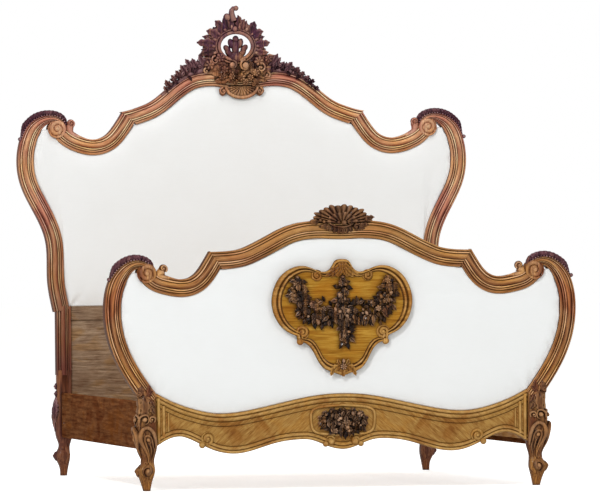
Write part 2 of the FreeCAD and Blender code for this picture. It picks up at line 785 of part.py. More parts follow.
def footboard():
    """Foot end: carved frame, apron, upholstered panel, shield and garland."""
    mitre = [at(share, foot_levels) for share in foot_mitre_shares]
    volute_centre = at(foot_volute_share, foot_levels)
    stile_line, widths, upright = stile(
        foot_stile_shares, foot_stile_width_shares, foot_levels, foot_member_width,
        foot_volute_share, foot_leg_shares,
    )
    top, bottom = apron_lines()
    apron = apron_piece(top, bottom)
    upright = one_solid(upright.cut(apron))
    shoulder_line, bend = shoulder(
        foot_shoulder_shares, foot_levels, foot_member_width, foot_bud_share, mitre, upright,
    )
    rail_line, rail = top_rail(foot_crest_shares, foot_levels, foot_member_width, mitre)
    shell = shell_piece()

    mitre_normal = Vector(mitre[1].z - mitre[0].z, 0, mitre[0].x - mitre[1].x)
    mitre_dowels = joint_dowels((mitre[0] + mitre[1]) / 2, mitre_normal)
    root = shoulder_line.points[1]
    root_dowels = joint_dowels((root + volute_centre) / 2, volute_centre - root)
    apron_depth = apron_recess + dowel_radius * 2
    apron_middle = (apron_top_end_share + apron_bottom_end_share) / 2 * knee_height
    apron_dowels = []
    for side in (-1, 1):
        place = Vector(post_inner_x, apron_depth, apron_middle + side * post_width / 2)
        apron_dowels.append((place, Vector(1, 0, 0)))
    dowels = dowel_solids(mitre_dowels + root_dowels + apron_dowels, dowel_radius)

    post = drill(upright.cut(hook_slot(frame_depth, -1)), root_dowels + apron_dowels)
    rail = drill(mirrored(drill(rail, mitre_dowels)), mitre_dowels).cut(shell)
    save_pair("foot_stile", post, foot_y)
    save_pair("foot_shoulder", drill(bend, mitre_dowels + root_dowels), foot_y)
    save("foot_top_rail", one_solid(rail), foot_y)
    save("foot_shell", shell, foot_y)
    leaf = carved_strip(
        stile_line, widths, foot_leaf_skip_count, leaf_height, foot_leaf_height_shares, leaf_depth,
    )
    save_pair("foot_scroll_leaf", one_solid(leaf.cut(bend).cut(upright)), foot_y)
    save("foot_apron", drill(mirrored(drill(apron, apron_dowels)), apron_dowels), foot_y)
    save("foot_bouquet", flat_ellipse(
        bouquet_width, bouquet_height, bouquet_place_share * knee_height,
        apron_recess - bouquet_thickness, apron_recess,
    ), foot_y)
    save("foot_dowels", Part.makeCompound(dowels + [mirrored(dowel) for dowel in dowels]), foot_y)
    pin = hook_pin(frame_depth, -1)
    save("foot_hook_pins", Part.makeCompound([pin, mirrored(pin)]), foot_y)

    raised_apron = extruded(
        apron_edges(top, bottom, seat_gap), -cut_overrun, frame_depth + cut_overrun,
    )
    corners = [Vector(post_inner_x, 0, apron_middle)]
    corners += stile_line.points[1:8] + [volute_centre] + shoulder_line.points[1:9]
    corners += rail_line.points[1:len(foot_crest_shares) - 1]
    members = opening_edges(
        stile_line, widths, 8, volute_centre, shoulder_line, rail_line, foot_member_width,
    ) + [upright, raised_apron]
    plate = panel_plate(corners, members, cover_recess, frame_depth)
    screw_front = cover_recess - shield_screw_bite
    screw_back = cover_recess + cover_thickness + pad_thickness + hessian_thickness
    screw_back += webbing_thickness + chassis_thickness
    screws = []
    for height_share in shield_screw_height_shares:
        for side in (-1, 1):
            place = Vector(
                side * shield_screw_place_share * chassis_muntin_width, 0,
                shield_bottom + height_share * shield_height,
            )
            screws.append(disc(place, shield_screw_radius, screw_front, screw_back))
    low_shoulder = min(point.z for point in shoulder_line.points) - foot_member_width / 2
    for name, layer in upholstery(plate, apron_crest, low_shoulder, screws).items():
        save("foot_" + name, layer, foot_y)

    shield_front = cover_recess - shield_thickness
    shield = extruded(shield_outline(1), shield_front, cover_recess)
    for screw in screws:
        shield = shield.cut(screw)
    moulding = extruded(shield_outline(1), shield_front - shield_moulding_thickness, shield_front)
    field = extruded(shield_outline(shield_field_share), -cut_overrun, cut_overrun)
    save("foot_shield", one_solid(shield), foot_y)
    save("foot_shield_moulding", one_solid(moulding.cut(field)), foot_y)
    save("foot_garland", garland_piece(shield_front), foot_y)
    save("foot_shield_screws", Part.makeCompound(screws), foot_y)


def mirrored_end(shape):
    """Same piece at the other end of a rail."""
    return shape.mirror(Vector(0, middle_y, 0), Vector(0, 1, 0))


def hook_plate():
    """Steel plate let into the head end of the right rail, with a hook that drops over the pin."""
    x0, x1 = post_x - hook_thickness / 2, post_x + hook_thickness / 2
    rail_middle = rail_bottom + rail_height / 2
    plate = block(
        Vector(x0, rail_end_y - hook_plate_length, rail_middle - hook_plate_height / 2),
        Vector(x1, rail_end_y, rail_middle + hook_plate_height / 2),
    )
    nose = hook_pin_height - hook_nose_drop
    tab = block(Vector(x0, rail_end_y, nose), Vector(x1, rail_end_y + hook_reach, nose + hook_tab_height))
    throat = hook_pin_radius + hook_pin_clearance
    pin_y = head_y + hook_pin_depth
    gap = block(Vector(x0, pin_y - throat, nose), Vector(x1, pin_y + throat, hook_pin_height))
    eye = peg(Vector(post_x, pin_y, hook_pin_height), Vector(1, 0, 0), throat, rail_thickness)
    return plate, one_solid(plate.fuse(tab.cut(gap).cut(eye)))


def hook_rivets(extra):
    """Two headed rivets through the rail and its hook plate."""
    rail_middle = rail_bottom + rail_height / 2
    rivets = []
    for side in (-1, 1):
        y = rail_end_y - hook_plate_length / 2 + side * hook_plate_length / 4
        z = rail_middle + side * hook_plate_height / 4
        shank = Part.makeCylinder(
            hook_rivet_radius + extra, rail_thickness, Vector(rail_inner_x, y, z), Vector(1, 0, 0),
        )
        head = Part.makeCylinder(
            hook_rivet_head_radius, hook_rivet_head_height,
            Vector(rail_inner_x - hook_rivet_head_height, y, z), Vector(1, 0, 0),
        )
        rivets.append(shank if extra else one_solid(shank.fuse(head)))
    return rivets


def ledger_screws(extra):
    """Row of screws that hold the ledger to the rail."""
    z = rail_bottom + ledger_rise + ledger_height / 2
    first = rail_start_y + ledger_end_setback + ledger_height
    last = rail_end_y - ledger_end_setback - ledger_height
    screws = []
    for number in range(ledger_screw_count):
        y = first + (last - first) * number / (ledger_screw_count - 1)
        start = Vector(rail_inner_x - ledger_thickness, y, z)
        screws.append(Part.makeCylinder(
            ledger_screw_radius + extra, ledger_screw_length, start, Vector(1, 0, 0),
        ))
    return screws


def rails():
    """Side rails with their hooks, rivets, ledgers and screws."""
    rail = block(
        Vector(rail_inner_x, rail_start_y, rail_bottom),
        Vector(rail_outer_x, rail_end_y, rail_bottom + rail_height),
    )
    plate, hook = hook_plate()
    rivets = hook_rivets(0)
    rivet_holes = hook_rivets(dowel_clearance)
    for cutter in [plate] + rivet_holes:
        rail = rail.cut(cutter).cut(mirrored_end(cutter))
    for hole in rivet_holes:
        hook = hook.cut(hole)
    ledger = block(
        Vector(rail_inner_x - ledger_thickness, rail_start_y + ledger_end_setback, rail_bottom + ledger_rise),
        Vector(rail_inner_x, rail_end_y - ledger_end_setback, rail_bottom + ledger_rise + ledger_height),
    )
    for hole in ledger_screws(dowel_clearance):
        ledger = ledger.cut(hole)
        rail = rail.cut(hole)
    save_pair("side_rail", one_solid(rail))
    save_pair("rail_hooks", Part.makeCompound([hook, mirrored_end(hook)]))
    save_pair("hook_rivets", Part.makeCompound(rivets + [mirrored_end(rivet) for rivet in rivets]))
    save_pair("slat_ledger", one_solid(ledger))
    save_pair("ledger_screws", Part.makeCompound(ledger_screws(0)))


def slats():
    """Slats on the ledgers, and the two tapes under them that tie them together."""
    half = rail_inner_x - slat_end_gap
    low = rail_bottom + ledger_rise + ledger_height
    first = rail_start_y + ledger_end_setback + slat_first_setback
    last = rail_end_y - ledger_end_setback - slat_first_setback - slat_width
    boards = []
    for number in range(slat_count):
        y = first + (last - first) * number / (slat_count - 1)
        boards.append(block(Vector(-half, y, low), Vector(half, y + slat_width, low + slat_thickness)))
    tapes = []
    for side in (-1, 1):
        x = side * tape_place_share * half
        tapes.append(block(
            Vector(x - tape_width / 2, first, low - tape_thickness),
            Vector(x + tape_width / 2, last + slat_width, low),
        ))
    save("slats", Part.makeCompound(boards))
    save("slat_tapes", Part.makeCompound(tapes))


headboard()
footboard()
rails()
slats()
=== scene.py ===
"""Carved bed with two upholstered ends: moulded frames, carvings, padding, finishes, light and camera."""
import math
import random

import bmesh
import bpy
import numpy as np
from mathutils import Matrix, Vector


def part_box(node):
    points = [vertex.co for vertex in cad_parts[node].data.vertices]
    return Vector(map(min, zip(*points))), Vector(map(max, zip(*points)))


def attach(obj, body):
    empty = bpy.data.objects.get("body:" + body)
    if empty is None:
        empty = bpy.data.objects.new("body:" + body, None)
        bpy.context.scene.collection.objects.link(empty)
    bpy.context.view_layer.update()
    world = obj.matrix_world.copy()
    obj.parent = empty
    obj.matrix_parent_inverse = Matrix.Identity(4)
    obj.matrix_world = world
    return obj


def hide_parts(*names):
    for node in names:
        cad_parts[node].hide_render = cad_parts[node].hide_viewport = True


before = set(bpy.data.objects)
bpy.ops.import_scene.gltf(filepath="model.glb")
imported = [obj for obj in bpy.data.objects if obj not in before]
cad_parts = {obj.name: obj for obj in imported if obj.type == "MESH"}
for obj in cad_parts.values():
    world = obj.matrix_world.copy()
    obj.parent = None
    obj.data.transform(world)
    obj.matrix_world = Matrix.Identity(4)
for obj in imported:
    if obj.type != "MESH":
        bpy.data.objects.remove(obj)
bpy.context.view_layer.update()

MM = 0.001
ENDS = "bed_ends"
MIRROR = np.array([-1, 1])

# Sizes of the bed ends in millimetres, as in the frame; depth is counted back from each end's front plane
FRAME_DEPTH = 58.0
POST_WIDTH = 58.0
KNEE_HEIGHT = 345.0
HEAD_WIDTH = 62.0
FOOT_WIDTH = 65.0
VOLUTE_RADIUS = 36.0
COVER_DEPTH = 12.0
PAD_BACK = 34.0

# Slats: count, width and shift of the grain from one to the next; slots: heights, play and depths
SLAT_COUNT, SLAT_WIDTH, SLAT_SHIFT = 13, 85.0, 137.0
SLOT_HEIGHTS, SLOT_PLAY = (158.0, 322.0), 0.5
HEAD_SLOT, FOOT_SLOT = (-5.0, 31.0), (27.0, 63.0)

# Meshing: steps and distances in millimetres, a count, an angle in degrees, then rows and columns
SWEEP_STEP, POST_STEP, MITRE_STEPS = 7.0, 30.0, 1500
WELD, SLIVER, SHARP = 0.02, 0.01, 42
COARSE_BEAD, BEAD, FINE_BEAD = (7, 10), (9, 14), (11, 20)
SMALL_LEAF, LEAF, LONG_LEAF, LARGE_LEAF = (9, 7), (13, 7), (15, 9), (19, 9)
PANEL_GRID, BACK_GRID = (170, 72), (90, 40)

# Cloth: tuck, cap and slack in millimetres, then the simulation's units, its steps and the pads' fill
CLOTH_TUCK, CLOTH_CAP, BACK_SLACK = 4.0, 9.0, 0.5
CLOTH_STIFFNESS, CLOTH_PRESSURE, CLOTH_STEPS, PAD_FILL = 25.0, 4.0, 20, 0.8

# Stage in metres and degrees; a lamp has its place, aim, size and share of full white
FLOOR_REACH, FLOOR_GLOW, AMBIENT = 90.0, 0.60, 0.50
CAMERA_AZIMUTH, CAMERA_ROLL, CAMERA_LENS = 10.775, -0.55, 431.0
CAMERA_AIM, CAMERA_DISTANCE = (0.036, 0.0, 0.876), 27.42
LAMPS = [
    ("key", (-6.2, -10.5, 9.5), (0, 0, 0.9), 2.0, 0.34), ("fill", (-9.0, -12.0, 3.0), (0, 0, 0.9), 6.0, 0.08),
    ("spark", (7.5, -11.0, 6.0), (0, 0, 0.9), 2.0, 0.10),
    ("over_head", (0.0, -0.9, 5.6), (0, 0.98, 1.2), 2.4, 0.32),
    ("rear", (2.0, 11.0, 7.0), (0, 0, 0.8), 4.0, 0.26),
]


def corners(node):
    """Lowest and highest corner of a node, in millimetres."""
    low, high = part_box(node)
    return np.array(low) / MM, np.array(high) / MM


POST_X = (corners("rail_hooks_right")[0][0] + corners("rail_hooks_right")[1][0]) / 2
HEAD_Y = corners("head_stile_right")[1][1] - FRAME_DEPTH
FOOT_Y = corners("foot_stile_right")[1][1] - FRAME_DEPTH
HEAD_LEVELS = (corners("head_lower_rail")[1][2], corners("head_crest_carving")[1][2])
FOOT_LEVELS = (KNEE_HEIGHT, corners("foot_shell")[1][2])
APRON_LEVELS = (0.0, KNEE_HEIGHT)
SHIELD_LOW, SHIELD_HIGH = corners("foot_shield")

# Centre lines of the moulded members of one half: shares of the post's place and of the height above it
HEAD_STILE = [
    (1.010, -0.014), (1.023, 0.024), (1.037, 0.080), (1.039, 0.165), (1.048, 0.224), (1.081, 0.284),
    (1.137, 0.351), (1.185, 0.418), (1.200, 0.487), (1.184, 0.549), (1.157, 0.587), (1.116, 0.612),
    (1.064, 0.623), (1.017, 0.617), (0.989, 0.593), (0.996, 0.571),
]
HEAD_STILE_WIDTHS = [1.0] * 10 + [0.94, 0.71, 0.48, 0.39, 0.32, 0.26]
HEAD_VOLUTE = (1.028, 0.590)
HEAD_BUD = (0.953, 0.609)
HEAD_SHOULDER = [
    (1.006, 0.576), (0.967, 0.556), (0.905, 0.538), (0.829, 0.529), (0.771, 0.535),
    (0.721, 0.553), (0.681, 0.581), (0.649, 0.610), (0.628, 0.631), (0.608, 0.651),
]
HEAD_CREST = [
    (0.711, 0.617), (0.633, 0.624), (0.552, 0.639), (0.497, 0.653), (0.442, 0.675), (0.387, 0.703),
    (0.331, 0.729), (0.276, 0.747), (0.221, 0.755), (0.166, 0.757), (0.083, 0.751), (0.0, 0.749),
]
HEAD_MITRE = [(0.674, 0.646), (0.594, 0.607)]
FOOT_STILE = [
    (0.986, -0.021), (1.054, 0.078), (1.119, 0.193), (1.160, 0.306), (1.178, 0.434), (1.171, 0.534),
    (1.153, 0.596), (1.119, 0.652), (1.064, 0.690), (1.015, 0.687), (0.979, 0.658), (0.971, 0.625),
]
FOOT_STILE_WIDTHS = [0.92] * 7 + [0.74, 0.52, 0.40, 0.31, 0.25]
FOOT_VOLUTE = (1.004, 0.645)
FOOT_BUD = (0.920, 0.670)
FOOT_SHOULDER = [
    (0.997, 0.634), (0.960, 0.600), (0.898, 0.578), (0.829, 0.567), (0.773, 0.575),
    (0.7265, 0.603), (0.688, 0.649), (0.662, 0.692), (0.644, 0.723), (0.624, 0.758),
]
FOOT_CREST = [
    (0.711, 0.709), (0.644, 0.709), (0.552, 0.715), (0.497, 0.727), (0.442, 0.751), (0.387, 0.779),
    (0.331, 0.810), (0.276, 0.837), (0.221, 0.855), (0.166, 0.864), (0.083, 0.866), (0.0, 0.863),
]
FOOT_MITRE = [(0.673, 0.753), (0.615, 0.663)]

# Section of a moulded member, from its outer edge to its inner: share of the half width, depth, and painted
# light: a painted highlight on beads and rounds (above 0) or painted shade in grooves and on the sides (below
# 0)
MEMBER_PROFILE = np.array([
    (-1.0, 58, -0.5), (-1.0, 11, -0.9), (-0.97, 8, 0.3), (-0.92, 6, 0.1), (-0.84, 5.6, 0),
    (-0.785, 6.8, -0.4), (-0.765, 10.5, -1), (-0.735, 10.5, -1), (-0.715, 6, -0.1), (-0.675, 3.2, 0.6),
    (-0.61, 2.4, 1), (-0.55, 3.6, 0.3), (-0.53, 9, -1), (-0.5, 9, -1), (-0.475, 4.6, -0.2), (-0.37, 0.6, 0),
    (-0.2, -2, 0.1), (0.0, -1.8, 0), (0.12, 0, -0.1), (0.145, 3.4, -1), (0.17, 3.4, -1), (0.19, 0, 0.9),
    (0.23, -1.6, 1), (0.28, -1.4, 1), (0.33, 0.6, 0.5), (0.355, 8.5, -1), (0.39, 9, -1), (0.415, 4.6, -0.1),
    (0.47, 2.4, 0.8), (0.55, 2.6, 0.2), (0.61, 5, -0.1), (0.635, 10.5, -1), (0.665, 10.5, -1),
    (0.69, 6.4, 0), (0.77, 5.4, 0.1), (0.9, 6, 0), (0.965, 8, 0.5), (1, 11.5, -0.4), (1, 58, -0.5),
])

# Leg sections: height, outer side, inner side, front and back, as shares of knee, post and depth
HEAD_LEG = [
    (0.0, 0.29, -0.14, 0.20, 0.75), (0.116, 0.38, -0.26, 0.12, 0.85), (0.23, 0.62, -0.36, -0.10, 0.95),
    (0.333, 0.38, -0.345, 0.06, 0.90), (0.43, 0.53, -0.5, 0.0, 1.0), (0.54, 0.62, -0.5, 0.0, 1.0),
    (0.64, 0.68, -0.5, 0.0, 1.0), (0.80, 0.60, -0.5, 0.0, 1.0), (0.90, 0.52, -0.5, 0.0, 1.0),
    (1.0, 0.5, -0.5, 0.0, 1.0), (1.1, 0.5, -0.5, 0.0, 1.0), (1.2, 0.5, -0.5, 0.0, 1.0),
]
FOOT_LEG = [
    (0.0, 0.33, -0.10, 0.22, 0.80), (0.116, 0.55, -0.24, 0.10, 0.86), (0.217, 0.69, -0.38, -0.14, 0.88),
    (0.319, 0.42, -0.345, 0.08, 0.84), (0.43, 0.56, -0.5, -0.04, 1.0), (0.58, 0.82, -0.5, -0.16, 1.0),
    (0.696, 0.82, -0.5, -0.16, 1.0), (0.84, 0.62, -0.5, -0.08, 1.0), (0.92, 0.56, -0.5, -0.04, 1.0),
    (1.0, 0.68, -0.5, 0.0, 1.0),
]
LEG_SQUARENESS = 4.0

# Apron edges, as shares of the post's place and of the knee, with the ends at the posts
APRON_TOP = [
    (0.0, 1.010), (0.11, 0.997), (0.276, 0.934), (0.442, 0.858), (0.58, 0.814), (0.677, 0.819),
    (0.773, 0.864), (0.870, 0.937), (0.96, 1.034),
]
APRON_BOTTOM = [
    (0.0, 0.417), (0.076, 0.455), (0.152, 0.515), (0.235, 0.525), (0.345, 0.493), (0.456, 0.423),
    (0.5525, 0.385), (0.635, 0.406), (0.732, 0.493), (0.829, 0.573), (0.898, 0.550), (0.96, 0.476),
]

# Shield outline in shares of its half width and height, and the height it shrinks towards
SHIELD_UPPER = [
    (0.0, 1.0), (0.085, 0.99), (0.145, 0.935), (0.22, 0.895), (0.323, 0.897), (0.437, 0.925),
    (0.57, 0.944), (0.722, 0.923), (0.867, 0.858), (0.966, 0.753), (1.0, 0.64), (0.973, 0.54),
    (0.897, 0.45), (0.78, 0.382), (0.654, 0.347),
]
SHIELD_LOWER = [
    (0.639, 0.296), (0.532, 0.284), (0.43, 0.226), (0.357, 0.142), (0.274, 0.072), (0.183, 0.04),
    (0.114, 0.026), (0.0, 0.0),
]
SHIELD_MIDDLE = 0.55
# Shield section: share of the outline, depth and painted light (painted highlight above 0, painted shade
# below 0)
SHIELD_FIELD = [
    (1.0, 12, -1), (1.0, -3, -0.5), (0.997, -5.5, 0), (0.985, -6, 0), (0.93, -6, 0), (0.84, -6, 0),
    (0.7, -6, 0), (0.5, -6, 0), (0.3, -6, 0), (0.12, -6, 0),
]
SHIELD_BORDER = [
    (0.998, -5.4, -0.6), (0.995, -9, 0.1), (0.984, -13, 0.25), (0.967, -14.5, 0.5), (0.95, -13.4, 0.2),
    (0.938, -8, -1), (0.926, -8, -1), (0.916, -11.6, 0.1), (0.902, -13, 0.7), (0.888, -11.6, 0.1),
    (0.879, -7, -1), (0.868, -6.6, -1), (0.858, -5.4, -0.8),
]
# Where the garland hangs, in the same shares
FESTOON = [(0.646, 0.83), (0.654, 0.75), (0.608, 0.645), (0.475, 0.564), (0.266, 0.541), (0.0, 0.529)]
DROP = [(0.0, 0.80), (0.0, 0.68), (0.0, 0.56), (0.015, 0.46), (0.03, 0.37), (0.035, 0.28)]

# Garland and shield carvings, in millimetres: reach, places and counts, then scrolls, ball, fan and leaves
GARLAND_REACH = 40.0
GARLAND_FLOWER, GARLAND_BUD = (0, 448), (0, 468)
FESTOON_COUNT, DROP_COUNT = 210, 130
SHIELD_SCROLLS = [((95, 784), 21, 1.8, -1), ((151, 575), 26, 2.0, 1)]
SHIELD_BALL = ((160, 541), 13)
SHIELD_FAN = ((0, 788), (7, 4), (32, 50))
SHIELD_FOOT_LEAVES = [
    ((6, 452), (47, 414), 24, 9), ((3, 446), (23, 426), 22, 3), ((1, 444), (2, 411), 18, 0),
    ((5, 452), (20, 476), 18, -4),
]
SHIELD_TOP_LEAVES = [
    ((6, 830), (66, 781), 24, -7), ((5, 818), (44, 778), 20, -5), ((2, 812), (20, 776), 18, -2),
    ((2, 806), (5, 838), 20, 0),
]
# Shares of the garland's reach along the festoon and down the drop
FESTOON_REACH = (0.2, 0.5, 0.65, 0.8, 0.95, 1.05, 1.0, 0.85)
DROP_REACH = (0.2, 0.4, 0.55, 0.7, 0.8, 0.65, 0.5, 0.4, 0.2)

# Carvings beside the frame: where leaves begin on a stile, how high they rise, and their section
HEAD_LEAF_FIRST, HEAD_LEAF_RISE = 9, (0.25, 0.85, 1.0, 1.0, 0.9, 0.5)
FOOT_LEAF_FIRST, FOOT_LEAF_RISE = 6, (0.5, 1.0, 1.0, 0.9, 0.5)
LEAF_HEIGHT = 21.0
LEAF_FLUTE = 10.0
LEAF_BACK, LEAF_PEARL, LEAF_PEARL_PITCH = 40.0, 3.2, 8.5

# Foot of the head post's moulding, and the buds at the shoulders' roots, in millimetres
HEAD_POST_FOOT = 395.0
BUD_RADIUS, BUD_ROOT, BUD_STEM = 16.0, 34.0, 96.0
BUD_INSET, BUD_NECK = 4.0, (2.0, -8.0)

# Carving of one face of a foot leg, across from the middle of the face and up, and the corner it folds at
FOOT_KNEE_LEAVES = [
    ((10, 350), (12, 270), 44, 2, 3, 0.0), ((-8, 338), (-26, 306), 20, 4, 3, 0.2),
    ((-6, 316), (-27, 284), 20, 4, 3, 0.2), ((-4, 344), (-24, 366), 22, -6, 3, 0.3),
    ((8, 346), (-4, 392), 24, 8, 3, 0.3), ((22, 346), (24, 388), 22, -4, 3, 0.3),
    ((0, 234), (2, 140), 52, 3, -5, 0.25),
]
FOOT_KNEE_CURLS = [
    (5, (-27, 150), (-27, 182), (-22, 212), (-8, 230), (10, 230), (22, 212), (24, 184), (16, 154), (6, 124),
     (1, 104)),
    (3.5, (-17, 160), (-16, 184), (-8, 202), (6, 202), (12, 186), (8, 160), (2, 132), (-1, 108)),
    (3, (-26, 252), (-25, 268), (-14, 272), (-8, 262), (-14, 254), (-19, 260)),
    (3, (26, 236), (30, 256), (22, 276), (6, 278), (-4, 264), (-2, 250), (10, 244)),
    (2, (-12, 132), (-9, 152), (-4, 172), (2, 182)), (2, (-18, 112), (-20, 132), (-20, 152), (-16, 168)),
]
FOOT_KNEE_PEARLS = [((11, 262), 9), ((-1, 188), 8), ((-16, 262), 4), ((-14, 224), 5)]
FOOT_KNEE_KNOB = ((31, 354), 14)
TOE_SCROLL = ((-1, 74), 24)
LEG_CORNER = 29.0

# Carving of a head leg, across from its front and up, and the width that goes one radian round a leg
HEAD_KNEE_LEAVES = [
    ((58, 318), (58, 172), 56, 0), ((42, 300), (38, 212), 24, -4), ((76, 300), (80, 212), 24, 4),
]
HEAD_KNEE_SCROLLS = [((50, 322), 13, 1), ((56, 350), 14, -1), ((58, 78), 21, 1)]
LEG_ROUND = 37.0

# Foot shell: places across and up from its lower edge
SHELL_FRINGE = [
    ((-52, 40), (-86, 28)), ((-42, 36), (-66, 20)), ((-32, 34), (-50, 13)), ((-20, 31), (-33, 7)),
    ((-8, 30), (-16, 3)), ((4, 29), (2, 1)), ((16, 30), (18, 3)), ((28, 32), (34, 8)),
    ((66, 28), (102, 36)), ((60, 22), (88, 20)), ((86, 54), (124, 62)), ((-84, 50), (-122, 48)),
]
SHELL_LIP = [(-46, 42), (-34, 34), (-16, 29), (4, 27), (24, 30), (40, 38)]
SHELL_PEARLS = [((9, 43), 10), ((-12, 44), 7), ((-80, 52), 6), ((-66, 47), 6), ((92, 54), 6)]
SHELL_SCROLLS = [((56, 28), 14, 1), ((30, 46), 11, -1)]

# The shell's fans: place, half sizes inside and outside, ribs, depth, height, back and raggedness
SHELL_FANS = [
    ((0, 44), (18, 6), (114, 66), 14, 6, 10, 12, 0.05), ((2, 42), (14, 5), (58, 40), 8, 0, 8, 6, 0.04),
]

# Crest of the head end, in millimetres across and up, with widths or radii
CREST_CENTRE = (-29.0, 1685.0)
CREST_RING = np.array([67.0, 55.0])
CREST_TIPS = [
    ((-112, 1786), 42), ((-147, 1746), 42), ((-186, 1700), 42), ((-176, 1652), 38), ((-76, 1806), 34),
    ((-20, 1808), 32), ((8, 1792), 32), ((47, 1783), 42), ((82, 1743), 42), ((108, 1700), 40),
    ((102, 1661), 36),
]
CREST_SPRAY = [
    ((-29, 1676), 15, 2.4, 90), ((-28, 1713), 13, 1.1, 90), ((-46, 1695), 13, 1.6, 108),
    ((-63, 1675), 12, 1.5, 135), ((-54, 1656), 13, 1.8, 130), ((-11, 1696), 13, 1.6, 72),
    ((6, 1677), 12, 1.5, 45), ((-4, 1656), 13, 1.8, 50), ((-29, 1640), 26, 1.3, 0),
]
CREST_ROUNDELS = [((8, 1609), 26, 1), ((-44, 1612), 22, -1)]
CREST_PEARL, CREST_PEARL_OUT = 6.5, 22.0
CREST_FINIAL = [(-36, 1785), (-41, 1800), (-44, 1814), (-43, 1826), (-36, 1835), (-27, 1835)]
CREST_FLOWERS = [
    ((-136, 1612), 22), ((62, 1626), 21), ((100, 1634), 18), ((-92, 1640), 20), ((-76, 1592), 17),
    ((50, 1580), 17), ((-8, 1562), 18), ((-46, 1566), 15), ((28, 1562), 14), ((8, 1543), 13),
    ((40, 1534), 10), ((-32, 1540), 9),
]
CREST_BASE_LEAVES = [
    ((-60, 1602), (-164, 1640), 48), ((44, 1600), (128, 1648), 46), ((-50, 1580), (-158, 1596), 44),
    ((36, 1578), (124, 1596), 44), ((-46, 1566), (-116, 1548), 36), ((30, 1562), (96, 1548), 36),
    ((-14, 1566), (-58, 1606), 40), ((-4, 1566), (40, 1604), 36),
]
CREST_CURLS = [
    ((-112, 1630), 20, 1), ((70, 1600), 22, -1), ((-80, 1574), 15, 1), ((96, 1570), 15, -1),
    ((-150, 1588), 13, 1),
]
# Foot of the crest: shell, fan, lip, the plate behind them, lugs, and a count of massed carvings
CREST_SHELL = (-7.0, 1530.0)
CREST_FAN, CREST_LIP = ((8, 5), (60, 42)), np.array([65, 47])
CREST_PLATE, CREST_PLATE_HEIGHT = (92, 46), 1545
CREST_LUGS = [((-82, 1506), 1), ((66, 1506), -1)]
CREST_MASS = 56
# Hoops of the crest: growth, radius and depth
CREST_HOOPS = [(0, 7.5, -4.0), (12, 5.0, -2.0)]
# Ground of its wreath: share of the way out, and depth
CREST_GROUND = [(0.0, 12), (0.0, 3), (0.3, 0), (0.6, 0), (0.85, 3), (1.0, 8), (1.0, 12), (0.0, 12)]
# Its knobs: place, depth, radius, stretch and turn
CREST_KNOBS = [
    ((-27, 1835), -3, 10.5, 1.0, 0.0), ((-62, 1799), -2, 14, 1.2, 1.9), ((-33, 1753), -8, 12, 1.0, 0.0),
]
# Low plate behind a carving: share of its reach, and of its depth there
PLATE_SECTION = [(0.05, 0.0), (0.4, 0.05), (0.7, 0.2), (0.9, 0.5), (0.98, 0.75), (1.0, 1.0)]
# Leaves along the head rail: where their stem starts, then their tips and sizes
SWAG_START = 96.0
SWAG_RIGHT = [
    ((140, 1655), 52), ((152, 1640), 46), ((166, 1624), 42), ((198, 1622), 44), ((226, 1602), 40),
    ((246, 1584), 36), ((268, 1566), 32), ((286, 1552), 28), ((300, 1528), 22),
]
SWAG_LEFT = [
    ((-178, 1652), 52), ((-205, 1638), 46), ((-232, 1635), 44), ((-252, 1612), 42), ((-272, 1590), 36),
    ((-290, 1572), 32), ((-312, 1554), 32), ((-318, 1530), 22),
]

# Apron section: drop from its upper edge, then rise from its lower edge, each with the depth there
APRON_UPPER = [
    (0, 50), (0, 12), (1, 8.5), (4, 5.6), (8, 5.4), (11.4, 7.6), (12.4, 12.5), (14.2, 12.5), (15.2, 8.4),
    (20, 6.2), (25, 7.4), (28.6, 10), (29.6, 13.5), (31.4, 13.5), (32.4, 10.6), (37, 9.8), (42, 10.2),
    (45, 11.6), (46, 14.4), (47.8, 14.4), (48.8, 12.4), (58, 12.2),
]
APRON_LOWER = [
    (42, 12.2), (28.4, 12.4), (27.4, 14.4), (25.6, 14.4), (24.6, 9.8), (20, 7), (16, 6.6), (13.8, 8),
    (12.8, 12.5), (11, 12.5), (10, 7), (5, 5.2), (1.6, 7.4), (0, 11), (0, 50),
]
# Lean of the veneer in degrees, then the apron's uprights, painted highlight and shade by depth,
# balls, scrolls and carvings
VENEER_LEAN = 40.0
APRON_UPRIGHTS = [(650, 3.0, 47, 27), (668, 6.0, 31, 12), (687, 6.5, 13, 2)]
APRON_LIGHT_DEPTHS, APRON_PAINTED_LIGHT = (5.2, 6.6, 8.0, 12.3, 13.0, 50.0), (0.8, 0.5, 0.0, 0.0, -1.0, -1.0)
APRON_BALLS = [((45, 172), 13), ((66, 164), 11), ((527, 166), 12)]
APRON_SCROLLS = [((506, 188), 25, 1.8, -1), ((46, 176), 19, 1.6, 1)]
BOUQUET_COUNT, BOUQUET_FULL = 190, 0.84
APRON_TABLET = [
    (0, 306), (72, 301), (114, 286), (119, 250), (110, 214), (60, 200), (0, 196),
]


def unit(vectors):
    """Vectors at length one."""
    return vectors / np.maximum(np.linalg.norm(vectors, axis=-1, keepdims=True), 1e-6)


def left_of(way):
    """Directions a quarter turn to the left."""
    return np.stack([-way[..., 1], way[..., 0]], -1)


def ways(turn):
    """Directions (across, height) at angles counted from the right."""
    return np.stack([np.cos(turn), np.sin(turn)], -1)


def full_turn(count):
    """Evenly spaced angles all the way round."""
    return np.linspace(0, 2 * math.pi, count, endpoint=False)


def at_depth(plane, depth):
    """Points of places (across, height) at their depths."""
    return np.stack([plane[..., 0], np.broadcast_to(depth, plane.shape[:-1]), plane[..., 1]], -1)


